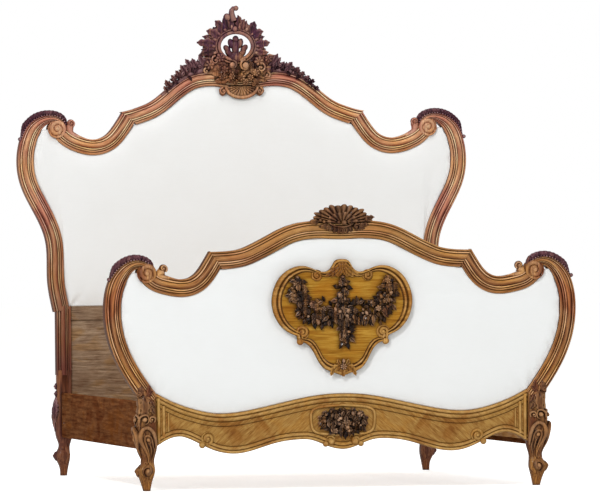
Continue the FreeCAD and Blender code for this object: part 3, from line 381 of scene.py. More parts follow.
class Spline:
    """Smooth curve through values at given places: a natural cubic spline."""

    def __init__(self, places, values):
        self.places = np.array(places, float)
        self.values = np.array(values, float)
        count, runs = len(self.places), np.diff(self.places)
        slopes = np.diff(self.values, axis=0) / runs[:, None]
        matrix, right = np.eye(count), np.zeros_like(self.values)
        for i in range(1, count - 1):
            matrix[i, i - 1:i + 2] = runs[i - 1], 2 * (runs[i - 1] + runs[i]), runs[i]
            right[i] = 6 * (slopes[i] - slopes[i - 1])
        self.bends = np.linalg.solve(matrix, right)

    def at(self, place):
        """Values and slopes at places."""
        place = np.clip(place, self.places[0], self.places[-1])
        i = np.clip(np.searchsorted(self.places, place, side="right") - 1, 0, len(self.places) - 2)
        run = (self.places[i + 1] - self.places[i])[..., None]
        a = (self.places[i + 1] - place)[..., None] / run
        b = 1 - a
        low, high, bend, next_bend = self.values[i], self.values[i + 1], self.bends[i], self.bends[i + 1]
        value = a * low + b * high + ((a**3 - a) * bend + (b**3 - b) * next_bend) * run**2 / 6
        slope = (high - low) / run + ((1 - 3 * a**2) * bend + (3 * b**2 - 1) * next_bend) * run / 6
        return value, slope


class Line(Spline):
    """Smooth line in the plane of a bed end, measured along its chords."""

    def __init__(self, points):
        chords = np.linalg.norm(np.diff(points, axis=0), axis=1)
        super().__init__(np.concatenate(([0.0], np.cumsum(chords))), points)
        self.length = self.places[-1]

    def along(self, share):
        """Points at shares of the line's length."""
        return self.at(np.asarray(share) * self.length)[0]

    def beside(self, place, offset):
        """Points beside the line, offset to its inner side."""
        point, slope = self.at(place)
        return point + left_of(unit(slope)) * np.asarray(offset)[..., None]


def level(shares, levels):
    """Points of a bed end from shares of the post's place and of the height between two levels."""
    shares = np.array(shares, float)
    low, high = levels
    return np.stack([shares[..., 0] * POST_X, low + shares[..., 1] * (high - low)], -1)


def whole(points):
    """Right half of a line, continued by its mirror image."""
    return np.concatenate([points, points[-2::-1] * MIRROR])


class Shape:
    """Points and faces of one piece, with the coordinates that its grain follows and its painted highlight
    and shade.
    """

    def __init__(self):
        self.points, self.grain, self.rub, self.faces, self.count = [], [], [], [], 0

    def grid(self, points, grain=None, around=False, caps=False, rub=0.0):
        """Adds rows of points; around joins each row into a ring, and caps close the end rings."""
        rows, columns = points.shape[:2]
        index = np.arange(rows * columns).reshape(rows, columns) + self.count
        if around:
            index = np.concatenate([index, index[:, :1]], 1)
        quads = np.stack([index[:-1, :-1], index[:-1, 1:], index[1:, 1:], index[1:, :-1]], -1)
        self.faces += quads.reshape(-1, 4).tolist()
        if caps:
            self.faces += [index[0, :columns][::-1].tolist(), index[-1, :columns].tolist()]
        flat = points.reshape(-1, 3)
        self.points.append(flat)
        self.grain.append(flat[:, [2, 0, 1]] if grain is None else grain.reshape(-1, 3))
        self.rub.append(np.broadcast_to(rub, (rows, columns)).ravel())
        self.count += len(flat)

    def warp(self, change):
        """Moves every point by a function of all the points."""
        self.points = [change(np.concatenate(self.points))]


def piece(name, shape, board_y, material, body=ENDS, mirror=False, nodes=None):
    """Object made of a shape, set at its board and riding on its body; stands for nodes or its namesake."""
    points = np.concatenate(shape.points) + np.array([0, board_y, 0])
    if mirror:
        points[:, 0] *= -1
    mesh = bpy.data.meshes.new(name)
    mesh.from_pydata((points * MM).tolist(), [], shape.faces)
    mesh.attributes.new("grain", "FLOAT_VECTOR", "POINT").data.foreach_set(
        "vector", np.concatenate(shape.grain).astype(np.float32).ravel())
    # Painted light of each point for the material: painted highlight above 0, painted shade below 0
    mesh.attributes.new("rub", "FLOAT", "POINT").data.foreach_set(
        "value", np.concatenate(shape.rub).astype(np.float32))
    clean = bmesh.new()
    clean.from_mesh(mesh)
    bmesh.ops.remove_doubles(clean, verts=clean.verts, dist=WELD * MM)
    bmesh.ops.dissolve_degenerate(clean, edges=clean.edges, dist=SLIVER * MM)
    bmesh.ops.recalc_face_normals(clean, faces=clean.faces)
    clean.to_mesh(mesh)
    clean.free()
    mesh.shade_smooth()
    mesh.set_sharp_from_angle(angle=math.radians(SHARP))
    mesh.materials.append(material)
    made = bpy.data.objects.new(name + "_form", mesh)
    bpy.context.scene.collection.objects.link(made)
    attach(made, body)
    nodes = [name] if nodes is None else nodes
    if nodes:
        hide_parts(*nodes)
    return made


def pair(name, shape, board_y, material, nodes=None):
    """Right piece and its mirror image on the left."""
    return [
        piece(name + "_" + side, shape, board_y, material, mirror=side == "left", nodes=nodes)
        for side in ("right", "left")]


def sweep(shape, line, widths, start=None, end=None, step=SWEEP_STEP):
    """Moulded section drawn along a line; each strand may start and end at a place of its own."""
    # The third column is painted light: highlight on the beads and rounds, shade in the grooves and on the
    # sides
    across, depth, rub = MEMBER_PROFILE.T
    start = np.zeros(len(across)) if start is None else start
    end = np.full(len(across), line.length) if end is None else end
    places = start + (end - start) * np.linspace(0, 1, int(line.length / step))[:, None]
    offset = across * np.interp(places, line.places, np.broadcast_to(widths, line.places.shape)) / 2
    points = at_depth(line.beside(places, offset), depth)
    shape.grid(points, np.stack([places, offset, points[..., 1]], -1), around=True, caps=True, rub=rub)


def mitred(line, width, mitre, last):
    """Where each strand of a member crosses its mitre: the last crossing, or the first."""
    places = np.linspace(0, line.length, MITRE_STEPS)
    found = []
    for across in MEMBER_PROFILE[:, 0]:
        side = (line.beside(places, across * width / 2) - mitre[0]) @ left_of(mitre[1] - mitre[0])
        i = np.nonzero(side[:-1] * side[1:] <= 0)[0][-1 if last else 0]
        found.append(places[i] + (places[i + 1] - places[i]) * side[i] / (side[i] - side[i + 1]))
    return np.array(found)


def tube(shape, plane, depth, radii, sides=10, flat=1.0):
    """Round bar along places (across, height) at their depths, flattened in depth."""
    plane = np.array(plane, float)
    slope = unit(np.gradient(plane, axis=0))
    turn = full_turn(sides)
    side = at_depth(left_of(slope), 0.0)[:, None] * np.cos(turn)[:, None]
    ring = side + np.array([0, flat, 0]) * np.sin(turn)[:, None]
    points = at_depth(plane, depth)[:, None] + ring * np.broadcast_to(radii, len(plane))[:, None, None]
    # Painted highlight along the front of the bar, painted shade along its back
    shape.grid(points, around=True, caps=True, rub=-0.7 * np.sin(turn) ** 3)


def bead(shape, spot, depth, radius, squash=0.8, stretch=1.0, turn=0.0, fine=BEAD, rub=0.0):
    """Rounded fruit or pearl, flattened in depth and stretched along one direction."""
    down = np.linspace(0, math.pi, fine[0])[:, None]
    about = full_turn(fine[1])
    along = np.cos(down) * stretch + 0 * about
    across = np.sin(down) * np.cos(about)
    front = -np.sin(down) * np.sin(about)
    plane = spot + radius * (along[..., None] * ways(turn) + across[..., None] * left_of(ways(turn)))
    # Painted highlight on the front of the bead, added to the painted light it is given
    shape.grid(at_depth(plane, depth - radius * squash * front), around=True, rub=rub + 0.8 * front**3)


def leaf(shape, base, tip, width, depth, thick, sway=0.0, curl=0.0, lobes=3, fine=LEAF, shade=0.0, rib=0.45):
    """Lobed leaf from its base to its tip: sunken midrib, domed halves, and a tip that curls forward."""
    t = np.linspace(0, 1, fine[0])[:, None]
    u = np.linspace(-1, 1, fine[1])
    along = np.array(tip, float) - base
    spine = base + along * t + left_of(unit(along)) * (sway * 4 * t * (1 - t))
    across = left_of(unit(np.gradient(spine, axis=0)))
    swell = np.sin(math.pi * np.clip(t, 0.03, 0.97) ** 0.8) ** 0.75
    half = width / 2 * swell * (1 - 0.24 * np.cos(2 * math.pi * lobes * t))
    dome = np.sqrt(np.maximum(1 - u**2, 0)) - rib * np.exp(-((u / 0.22) ** 2))
    ripple = 0.25 * np.abs(u) * np.cos(2 * math.pi * lobes * t) * (1 - u**4)
    lift = curl * t**2.2
    front = depth - lift - thick * swell * (0.25 + 0.75 * dome + ripple)
    back = np.maximum(depth - lift * 0.85, front + 0.5)
    plane = spine[:, None] + across[:, None] * (half * u)[..., None]
    points = np.concatenate([at_depth(plane, front), at_depth(plane, back)[:, ::-1]], 1)
    # Painted highlights on the margins, painted shade in the sunken midrib and on the back
    painted_leaf_light = shade + 0.75 * u**2 - 0.8 * rib * np.exp(-((u / 0.25) ** 2))
    shape.grid(points, around=True, caps=True, rub=np.concatenate([painted_leaf_light, np.full(fine[1], -0.4)]))


def scroll(shape, centre, radius, thick, depth, start=math.pi / 2, turns=1.2, hand=1):
    """Spiral scroll that winds in to a round eye; centre is (across, height)."""
    t = np.linspace(0, 1, int(26 * turns))
    reach = radius * (1 - 0.80 * t) - thick * 0.5
    plane = centre + reach[:, None] * ways(start + hand * 2 * math.pi * turns * t)
    tube(shape, plane, depth - thick * 0.7 * t, thick * (0.95 - 0.4 * t), sides=8, flat=1.1)
    bead(shape, centre, depth - thick * 0.9, radius * 0.26, squash=0.9, fine=COARSE_BEAD)


def polar(shape, centre, radii, depths, back, rub=0.0):
    """Round dish of rings about a centre: radii and depths by ring and angle, closed at the back."""
    rings, sides = depths.shape
    plane = centre + radii[..., None] * ways(full_turn(sides))
    points = np.concatenate([at_depth(plane, depths), at_depth(plane[-1:], back)])
    # Painted shade on the back ring
    rub = np.concatenate([np.broadcast_to(rub, (rings, sides)), np.full((1, sides), -0.5)])
    shape.grid(points, around=True, caps=True, rub=rub)


def flower(shape, centre, radius, depth, height, petals=6, turn=0.0, shade=0.0):
    """Open flower: a button ringed by rounded petals; centre is (across, height)."""
    r = np.linspace(0.04, 1, 8)[:, None]
    lobe = np.abs(np.cos((full_turn(petals * 6) - turn) * petals / 2))
    button = np.exp(-((r / 0.22) ** 2))
    cup = np.sin(math.pi * r**1.3) * (0.45 + 0.55 * lobe)
    radii = radius * r * (1 - 0.24 * (1 - lobe) * r)
    # Painted highlight on the cups and the button, painted shade between the petals
    light = shade + 0.7 * cup + 0.6 * button - 0.5 * (1 - lobe)
    polar(shape, centre, radii, depth - height * (0.25 + 0.5 * cup + 0.75 * button), depth, light)


def fan(shape, centre, inner, outer, start, end, ribs, depth, height, back, ragged=0.0):
    """Scallop of ribs spread between two angles; inner and outer are half sizes (across, up)."""
    turn = np.linspace(start, end, ribs * 8 + 1)
    share = np.linspace(0, 1, 14)[:, None]
    place = (turn - start) / (end - start) * ribs
    flute = np.abs(np.sin(place * math.pi))
    uneven = ragged * np.sin(np.floor(place) * 2.4 + 0.7)
    reach = share * (1 + (0.1 * (flute - 1) + uneven * flute) * share**3)
    plane = centre + (inner + np.subtract(outer, inner) * reach[..., None]) * ways(turn)
    rise = height * (0.25 + 0.75 * np.sin(math.pi * (0.12 + 0.7 * share)))
    front = at_depth(plane, depth - rise * (0.5 + 0.5 * flute**0.8))
    points = np.concatenate([front, at_depth(plane, back)[::-1]]).transpose(1, 0, 2)
    # Painted highlight on the ribs, painted shade between them and on the back
    light = np.concatenate([0.8 * flute**3 - 0.35 + 0.4 * share**4, np.full_like(reach, -0.2)])
    shape.grid(points, around=True, caps=True, rub=light.T)


def boss(shape, centre, radius, depth, height, back, hand=1, turns=2.0):
    """Round boss carved with a spiral that winds in to an eye; centre is (across, height)."""
    eye = 0.24
    r = np.linspace(0.02, 1, 20)[:, None]
    wind = np.mod(turns * r + hand * full_turn(56) / (2 * math.pi) + 0.3, 1)
    band = (1 - np.abs(2 * wind - 1) ** 3) * np.clip((1.02 - r) / 0.06, 0.25, 1)
    relief = np.where(r < eye, 0.55 + 0.75 * np.clip(1 - (r / eye) ** 2, 0, 1) ** 0.5, band)
    # Painted highlight on the raised spiral and the eye, painted shade in the groove
    polar(shape, centre, radius * r, depth - height * (relief - 0.9 * r**2), back, 0.65 * relief - 0.4)


def plate(shape, centre, half, front, back):
    """Low domed oval behind a carving."""
    about = full_turn(48)
    reach = half[0] * half[1] / np.hypot(half[1] * np.cos(about), half[0] * np.sin(about))
    share, drop = np.array(PLATE_SECTION).T[..., None]
    polar(shape, centre, share * reach, front + (back - front) * drop + 0 * about, back)


def cluster(shape, rng, spot, reach, depth, size, dim=0.0, spread=0.0):
    """One leaf, fruit or flower of a carved mass within a reach of a spot: painted shade when deep, highlight
    in front.
    """
    angle, out = rng.uniform(0, 2 * math.pi), math.sqrt(rng.random())
    centre = spot + reach * out * ways(angle)
    lift = rng.random()
    rise = depth - 1 - 10 * lift * (1 - out**2)
    shade = -1.1 + 1.75 * lift - dim
    kind = rng.random()
    if kind < 0.58:
        fall = rng.uniform(-0.85, -0.15) * math.pi
        long = size * rng.uniform(1.1, 1.6)
        tip = centre + long * unit(ways(fall) + spread * out * ways(angle))
        leaf(shape, centre, tip, long * 0.46, rise, thick=8, curl=5, lobes=1, fine=SMALL_LEAF, shade=shade)
    elif kind < 0.85:
        stretch = rng.uniform(1.0, 1.5)
        radius = size * rng.uniform(0.26, 0.42)
        bead(shape, centre, rise - 3, radius, 0.95, stretch, angle, COARSE_BEAD, shade)
    else:
        flower(shape, centre, size * 0.62, rise, height=9, turn=angle, shade=shade)


def end_frame(prefix, board_y, tables, levels, width, stile_widths, centres, mitre, wood):
    """Moulded frame of one bed end: stiles with volutes, shoulders with buds, and the top rail."""
    stile, shoulder = (Line(level(table, levels)) for table in tables[:2])
    rail = Line(whole(level(tables[2], levels)))
    mitre = level(mitre, levels)
    volute_centre, bud_centre = level(centres, levels)
    widths = np.array(stile_widths) * width

    upright = Shape()
    sweep(upright, stile, widths)
    boss(upright, volute_centre, VOLUTE_RADIUS, depth=-1.5, height=5.0, back=FRAME_DEPTH, hand=-1)
    if prefix == "head":
        post = Line(np.array([(POST_X, z) for z in np.linspace(HEAD_POST_FOOT, levels[0], 4)]))
        sweep(upright, post, POST_WIDTH, step=POST_STEP)
    pair(prefix + "_stile", upright, board_y, wood)

    bend = Shape()
    sweep(bend, shoulder, width, end=mitred(shoulder, width, mitre, last=True))
    bud(bend, shoulder, width, bud_centre)
    pair(prefix + "_shoulder", bend, board_y, wood)

    arch = Shape()
    near, far = mitred(rail, width, mitre, last=False), mitred(rail, width, mitre * MIRROR, last=True)
    sweep(arch, rail, width, near, far)
    piece(prefix + ("_crest_rail" if prefix == "head" else "_top_rail"), arch, board_y, wood)
    return stile, widths


def bud(shape, shoulder, width, centre):
    """Curled bud at the root of a shoulder, on a stem that runs out along the shoulder's outer edge."""
    edge = shoulder.beside(np.linspace(BUD_ROOT, BUD_ROOT + BUD_STEM, 6), BUD_INSET - width / 2)
    stem = Line(np.concatenate([[centre + BUD_NECK], edge]))
    t = np.linspace(0, 1, 26)
    tube(shape, stem.along(t), 12 + 2 * t, 17 - 14 * t**0.7, sides=14)
    # The bud is painted in shade, with the bead's painted highlight on its front
    bead(shape, centre, 6, BUD_RADIUS, fine=FINE_BEAD, rub=-0.8)
    scroll(shape, centre, BUD_RADIUS, thick=3.6, depth=-5.0, start=math.pi * 1.3, hand=-1)


def scroll_leaf(stile, widths, first, heights):
    """Crescent leaf along the outside of a stile's scroll, fluted aslant, with a row of pearls."""
    shape = Shape()
    spots = stile.places[first:first + len(heights)]
    places = np.linspace(spots[0], spots[-1], 190)[:, None]
    t = (places - spots[0]) / (spots[-1] - spots[0])
    taper = np.clip(np.minimum(t / 0.22, (1 - t) / 0.12), 0.04, 1) ** 0.6
    rise = LEAF_HEIGHT * np.interp(places, spots, heights) * taper
    half = np.interp(places, stile.places, widths) / 2
    out = np.linspace(-0.1, 1, 11)
    wave = np.cos(2 * math.pi * (places / LEAF_FLUTE - 0.9 * out))
    dome = np.sin(math.pi * (0.12 + 0.84 * out)) ** 0.7
    deep = 13 - (8.5 + 1.5 * wave) * dome * (0.35 + 0.65 * taper)
    offset = half + rise * out * (1 + 0.03 * wave * out)
    front = at_depth(stile.beside(places + 0 * out, -offset), deep)
    rear = front[:, [-1, 0]]
    rear[..., 1] = LEAF_BACK
    shape.grid(np.concatenate([front, rear], 1), around=True, caps=True)

    def spot(place, share):
        i = np.argmin(np.abs(places[:, 0] - place))
        return stile.beside(np.array(place), -(half[i, 0] + share * rise[i, 0]))

    # Pearls with a painted highlight
    for place in np.arange(spots[0] + 10, spots[-1] - 4, LEAF_PEARL_PITCH):
        bead(shape, spot(place, 0.05), 4.0, LEAF_PEARL, fine=(5, 8), rub=0.6)
    bead(shape, spot(spots[0] + 2, 0.0) + (5, -1), 12, 8.0, squash=1.2, fine=COARSE_BEAD)
    return shape


class Leg:
    """Cabriole leg through the sections of a table."""

    def __init__(self, sections):
        table = np.array(sections)
        self.spline = Spline(table[:, 0] * KNEE_HEIGHT, table[:, 1:])
        self.top = self.spline.places[-1]

    def surface(self, turn, height, lift):
        """Points at turns round the leg, where 0 is its front and a quarter turn its outer side."""
        outer, inner, front, back = np.moveaxis(self.spline.at(height)[0], -1, 0)
        half = np.stack([(outer - inner) / 2 * POST_WIDTH, (back - front) / 2 * FRAME_DEPTH], -1)
        centre = np.stack([POST_X + (outer + inner) / 2 * POST_WIDTH, (front + back) / 2 * FRAME_DEPTH], -1)
        way = np.stack([np.sin(turn), -np.cos(turn)], -1)
        reach = (np.abs(way / half) ** LEG_SQUARENESS).sum(-1, keepdims=True) ** (-1 / LEG_SQUARENESS)
        normal = unit(np.sign(way) * np.abs(reach * way / half) ** (LEG_SQUARENESS - 1) / half)
        spot = centre + reach * way + normal * np.asarray(lift)[..., None]
        return np.concatenate([spot, (height + 0 * turn)[..., None]], -1)

    def body(self):
        """Bare leg, closed at its foot and its top."""
        shape = Shape()
        turns, heights = np.meshgrid(full_turn(44), np.linspace(0, self.top, 70))
        shape.grid(self.surface(turns, heights, 0), around=True, caps=True)
        return shape

    def wrapped(self, flat):
        """Flat carving, with its middle at the leg's front, laid on the leg's surface."""
        flat.warp(lambda p: self.surface(p[:, 0] / LEG_ROUND, p[:, 2], -p[:, 1]))
        return flat


def folded(spot, hand):
    """Place of a carving on a leg's front, or its mirror image on the outer side."""
    return np.array([LEG_CORNER + hand * (spot[0] - LEG_CORNER), spot[1]])


def foot_knee():
    """Carving of a foot leg, alike on its front and outer side: leaves, curls, pearls and a toe scroll."""
    flat = Shape()
    for hand in (1, -1):
        for base, tip, width, sway, curl, rib in FOOT_KNEE_LEAVES:
            leaf(flat, folded(base, hand), folded(tip, hand), width, depth=1, thick=9, sway=hand * sway,
                 curl=curl, fine=(21, 11), rib=rib)
        for radius, *spots in FOOT_KNEE_CURLS:
            line = Line(np.array([folded(spot, hand) for spot in spots]))
            t = np.linspace(0, 1, 4 * len(spots))
            tube(flat, line.along(t), 2 - 8 * np.sin(math.pi * (0.08 + 0.84 * t)),
                 radius * (0.35 + 1.1 * np.sin(math.pi * (0.12 + 0.76 * t))))
        # Pearls and the toe scroll's eye with painted highlights
        for spot, radius in FOOT_KNEE_PEARLS:
            bead(flat, folded(spot, hand), -6, radius, rub=0.5)
        spot, radius = TOE_SCROLL
        boss(flat, folded(spot, hand), radius, depth=-3, height=7, back=4, hand=hand, turns=1.2)
        bead(flat, folded(spot, hand), -5, 0.4 * radius, rub=0.2)
    spot, radius = FOOT_KNEE_KNOB
    boss(flat, spot, radius, depth=-4, height=6, back=4, turns=1.5)
    return flat


def head_knee():
    """Carving of a head leg, on its outer side only: a knee leaf, small curls and a toe scroll."""
    flat = Shape()
    for base, tip, width, sway in HEAD_KNEE_LEAVES:
        leaf(flat, base, tip, width, depth=1, thick=11, sway=sway, curl=3, lobes=5, fine=LARGE_LEAF)
    for spot, radius, hand in HEAD_KNEE_SCROLLS:
        boss(flat, spot, radius, depth=-3, height=7, back=4, hand=hand, turns=1.6)
    return flat


def legs(prefix, sections, knee, board_y, wood, carved):
    """Both legs of a bed end, with the slot for the rail's hook cut from each."""
    leg = Leg(sections)
    made = pair(prefix + "_leg", leg.body(), board_y, wood, nodes=())
    pair(prefix + "_knee", leg.wrapped(knee), board_y, carved, nodes=())
    for each, side in zip(made, ("right", "left")):
        cut_slot(each, "rail_hooks_" + side, board_y)


def cut_slot(leg, hook_node, board_y):
    """Cuts the slot that the rail's hook drops into, with room for the hook's lift."""
    low, high = corners(hook_node)
    left, right = low[0] - SLOT_PLAY, high[0] + SLOT_PLAY
    bottom, top = SLOT_HEIGHTS
    rings = [
        [(left, y, bottom), (right, y, bottom), (right, y, top), (left, y, top)]
        for y in np.add(board_y, HEAD_SLOT if board_y > 0 else FOOT_SLOT)]
    box = Shape()
    box.grid(np.array(rings), around=True, caps=True)
    cutter = piece(leg.name + "_cutter", box, 0.0, leg.data.materials[0], nodes=())
    change = leg.modifiers.new("slot", "BOOLEAN")
    change.object, change.operation, change.solver = cutter, "DIFFERENCE", "EXACT"
    bpy.context.view_layer.update()
    seen = leg.evaluated_get(bpy.context.evaluated_depsgraph_get())
    mesh = bpy.data.meshes.new_from_object(seen)
    leg.modifiers.clear()
    leg.data = mesh
    bpy.data.objects.remove(cutter)


def crest_carving():
    """Pierced crest: wreath of leaves about a spray, roundels, clustered flowers, shell and finial."""
    shape = Shape()
    about = ways(np.linspace(0, 2 * math.pi, 73))
    for grow, radius, depth in CREST_HOOPS:
        tube(shape, CREST_CENTRE + (CREST_RING + grow) * about, depth, radius)
    crest_wreath(shape)
    # The spray is painted in shade; the roundels' eyes and the pearls round the ring get painted highlights
    for spot, reach, stretch, turn in CREST_SPRAY:
        bead(shape, spot, 4, reach, 0.75, stretch, math.radians(turn), fine=(11, 14), rub=-0.6)
    for spot, radius, hand in CREST_ROUNDELS:
        scroll(shape, spot, radius, thick=7, depth=-6, hand=hand)
        bead(shape, spot, -13, 0.48 * radius, rub=0.8)
    for turn in np.radians(np.arange(-20, 201, 20)):
        spot = CREST_CENTRE + (CREST_RING + CREST_PEARL_OUT) * ways(turn)
        bead(shape, spot, -6, CREST_PEARL, stretch=1.5, turn=turn, rub=0.4)
    tube(shape, CREST_FINIAL, 0.0, np.linspace(15, 8, len(CREST_FINIAL)), sides=12, flat=0.8)
    for spot, depth, radius, stretch, turn in CREST_KNOBS:
        bead(shape, spot, depth, radius, stretch=stretch, turn=turn)
    crest_shell(shape)
    return shape


def crest_wreath(shape):
    """Leaves that stand out all round the ring of the crest, on a fluted ground."""
    tips = np.array([tip for tip, width in CREST_TIPS], float) - CREST_CENTRE
    turn = np.linspace(-math.pi, math.pi, 96, endpoint=False)
    reach = np.interp(
        turn, np.arctan2(tips[:, 1], tips[:, 0]), np.linalg.norm(tips, axis=1), period=2 * math.pi)
    inner, outer = 0.97 * CREST_RING * ways(turn), 0.84 * reach[:, None] * ways(turn)
    share, deep = np.array(CREST_GROUND).T[..., None]
    flute = 2.2 * np.cos(turn * 34) * ((share > 0.1) & (share < 0.9))
    plane = CREST_CENTRE + inner + (outer - inner) * share[..., None]
    shape.grid(at_depth(plane, deep + flute), around=True)
    rng = random.Random(7)
    for tip, width in CREST_TIPS:
        # Each leaf gets painted light of its own; the side leaves behind it are painted in shade
        shade = rng.uniform(-0.7, 0.2)
        out = np.array(tip, float) - CREST_CENTRE
        base = CREST_CENTRE + 1.02 * CREST_RING * unit(out)
        leaf(shape, base, tip, width, depth=0, thick=11, sway=rng.uniform(-9, 9), curl=6, fine=LONG_LEAF,
             shade=shade)
        for hand in (-1, 1):
            aside = hand * left_of(unit(out))
            lower = tip - out * 0.13 + aside * width * 0.62
            leaf(shape, base + aside * 8, lower, width * 0.66, depth=3, thick=10, sway=hand * 4, curl=4,
                 lobes=2, shade=-shade - 0.6)


def crest_shell(shape):
    """Foot of the crest: a small scallop in a moulded lip, lugs, and massed leaves and flowers."""
    x = CREST_SHELL[0]
    start, end = math.pi * 1.04, math.pi * 1.96
    plate(shape, (x, CREST_PLATE_HEIGHT), CREST_PLATE, front=4, back=12)
    fan(shape, CREST_SHELL, *CREST_FAN, start, end, ribs=11, depth=0, height=5, back=12)
    tube(shape, CREST_SHELL + CREST_LIP * ways(np.linspace(start, end, 33)), -4.0, 7.5, sides=12)
    for (place, height), hand in CREST_LUGS:
        bead(shape, (place, height), 2, 15, stretch=1.15, turn=math.pi / 2)
        scroll(shape, (place, height + 2), 17, thick=6, depth=-6, turns=1.3, hand=hand)
    for base, tip, width in CREST_BASE_LEAVES:
        leaf(shape, base, tip, width, depth=3, thick=12, sway=4, curl=6)
    rng = random.Random(3)
    for number in range(CREST_MASS):
        along, up = rng.uniform(-1, 1), rng.random()
        spot = (x - 10 + along * (70 + 62 * up), 1552 + up * (40 + 50 * abs(along)))
        cluster(shape, rng, spot, reach=4, depth=2, size=22, dim=0.6)
    for spot, radius, hand in CREST_CURLS:
        scroll(shape, spot, radius, thick=5, depth=-10, turns=1.1, hand=hand)
    for spot, radius in CREST_FLOWERS:
        flower(shape, spot, radius, depth=-8, height=12, turn=spot[0], shade=-0.25)


def rail_top(x):
    """Height of the head rail's upper edge at places across."""
    points = level(HEAD_CREST, HEAD_LEVELS)[::-1]
    return np.interp(np.abs(x), points[:, 0], points[:, 1]) + HEAD_WIDTH / 2


def swag(tips):
    """Leaves that lie along the top rail beside the crest, smaller towards their end."""
    shape = Shape()
    rng = random.Random(11)
    hand = math.copysign(1.0, tips[0][0][0])
    x = hand * np.linspace(SWAG_START, abs(tips[-1][0][0]) + 6, 24)
    stem = np.stack([x, rail_top(x) + np.linspace(6, 1.2, 24)], -1)
    tube(shape, stem, 10.0, np.linspace(17, 7, 24), sides=12)
    for (tip_x, tip_z), size in tips:
        tip = np.array([tip_x, tip_z], float)
        foot_x = tip_x - hand * 0.7 * size
        foot = np.array([foot_x, min(rail_top(foot_x) + 4, tip_z - 0.5 * size)])
        leaf(shape, foot, tip, size * 0.62, depth=3, thick=11, sway=rng.uniform(-4, 4), curl=6)
        for side in (-1, 1):
            end = foot + (tip - foot) * 0.74 + side * size * np.array([0.34, -0.2 * hand])
            leaf(shape, foot, end, size * 0.46, depth=5, thick=10, sway=side * 3, curl=4, lobes=2)
        for number in range(4):
            spot = foot + (tip - foot) * rng.uniform(0.0, 0.5)
            cluster(shape, rng, spot, reach=9, depth=1, size=size * 0.36, dim=0.4)
    return shape


def foot_shell():
    """Broad scallop shell on the foot end's top rail: a fringe below, a scroll beside it and leaf ends."""
    shape = Shape()
    low = np.array([0.0, corners("foot_shell")[0][2]])
    for centre, inner, outer, ribs, depth, height, back, ragged in SHELL_FANS:
        fan(shape, low + centre, inner, outer, 0.0, math.pi, ribs, depth, height, back, ragged)
    for base, tip in SHELL_FRINGE:
        leaf(shape, low + base, low + tip, 19, depth=2, thick=9, sway=3, curl=4, lobes=2, rib=0.2)
    tube(shape, Line(low + SHELL_LIP).along(np.linspace(0, 1, 24)), -4.0, np.linspace(3, 4.5, 24))
    for spot, radius in SHELL_PEARLS:
        bead(shape, low + spot, -5, radius)
    for spot, radius, hand in SHELL_SCROLLS:
        boss(shape, low + spot, radius, depth=-4, height=6, back=6, hand=hand, turns=1.4)
    return shape


def shield_spot(shares):
    """Points of the shield from shares of its half width and of its height."""
    shares = np.array(shares, float)
    wide, rise = SHIELD_HIGH[0], SHIELD_HIGH[2] - SHIELD_LOW[2]
    return np.stack([shares[..., 0] * wide, SHIELD_LOW[2] + shares[..., 1] * rise], -1)


def shield_outline():
    """Closed outline of the shield, clockwise from its top."""
    upper, lower = Line(shield_spot(SHIELD_UPPER)), Line(shield_spot(SHIELD_LOWER))
    right = np.concatenate([upper.along(np.linspace(0, 1, 64)), lower.along(np.linspace(0, 1, 40))])
    return np.concatenate([right, right[-2:0:-1] * MIRROR])


def shield(board_y, veneer, wood):
    """Veneered shield with its double moulding, scrolls at the corners and leaves at top and bottom."""
    outline = shield_outline()
    middle = shield_spot((0.0, SHIELD_MIDDLE))
    field, border = Shape(), Shape()
    for shape, section in ((field, SHIELD_FIELD), (border, SHIELD_BORDER + SHIELD_BORDER[:1])):
        # Third column: painted light of the section
        scale, depth, rub = np.array(section).T[..., None]
        points = at_depth(middle + (outline - middle) * scale[..., None], depth)
        shape.grid(points, points[..., [0, 2, 1]], around=True, caps=shape is field, rub=rub)
    piece("foot_shield", field, board_y, veneer)
    for hand in (-1, 1):
        side = np.array([hand, 1])
        for spot, radius, turns, way in SHIELD_SCROLLS:
            boss(border, side * spot, radius, depth=-9, height=5, back=-5, hand=hand * way, turns=turns)
        spot, radius = SHIELD_BALL
        bead(border, side * spot, -6, radius)
        for base, tip, width, sway in SHIELD_TOP_LEAVES + SHIELD_FOOT_LEAVES:
            leaf(border, side * base, side * tip, width, depth=-8, thick=9, sway=hand * sway, curl=3, lobes=4,
                 fine=LARGE_LEAF, shade=-0.2)
    fan(border, *SHIELD_FAN, math.pi * 0.16, math.pi * 0.84, ribs=5, depth=-5, height=9, back=-3)
    piece("foot_shield_moulding", border, board_y, wood)


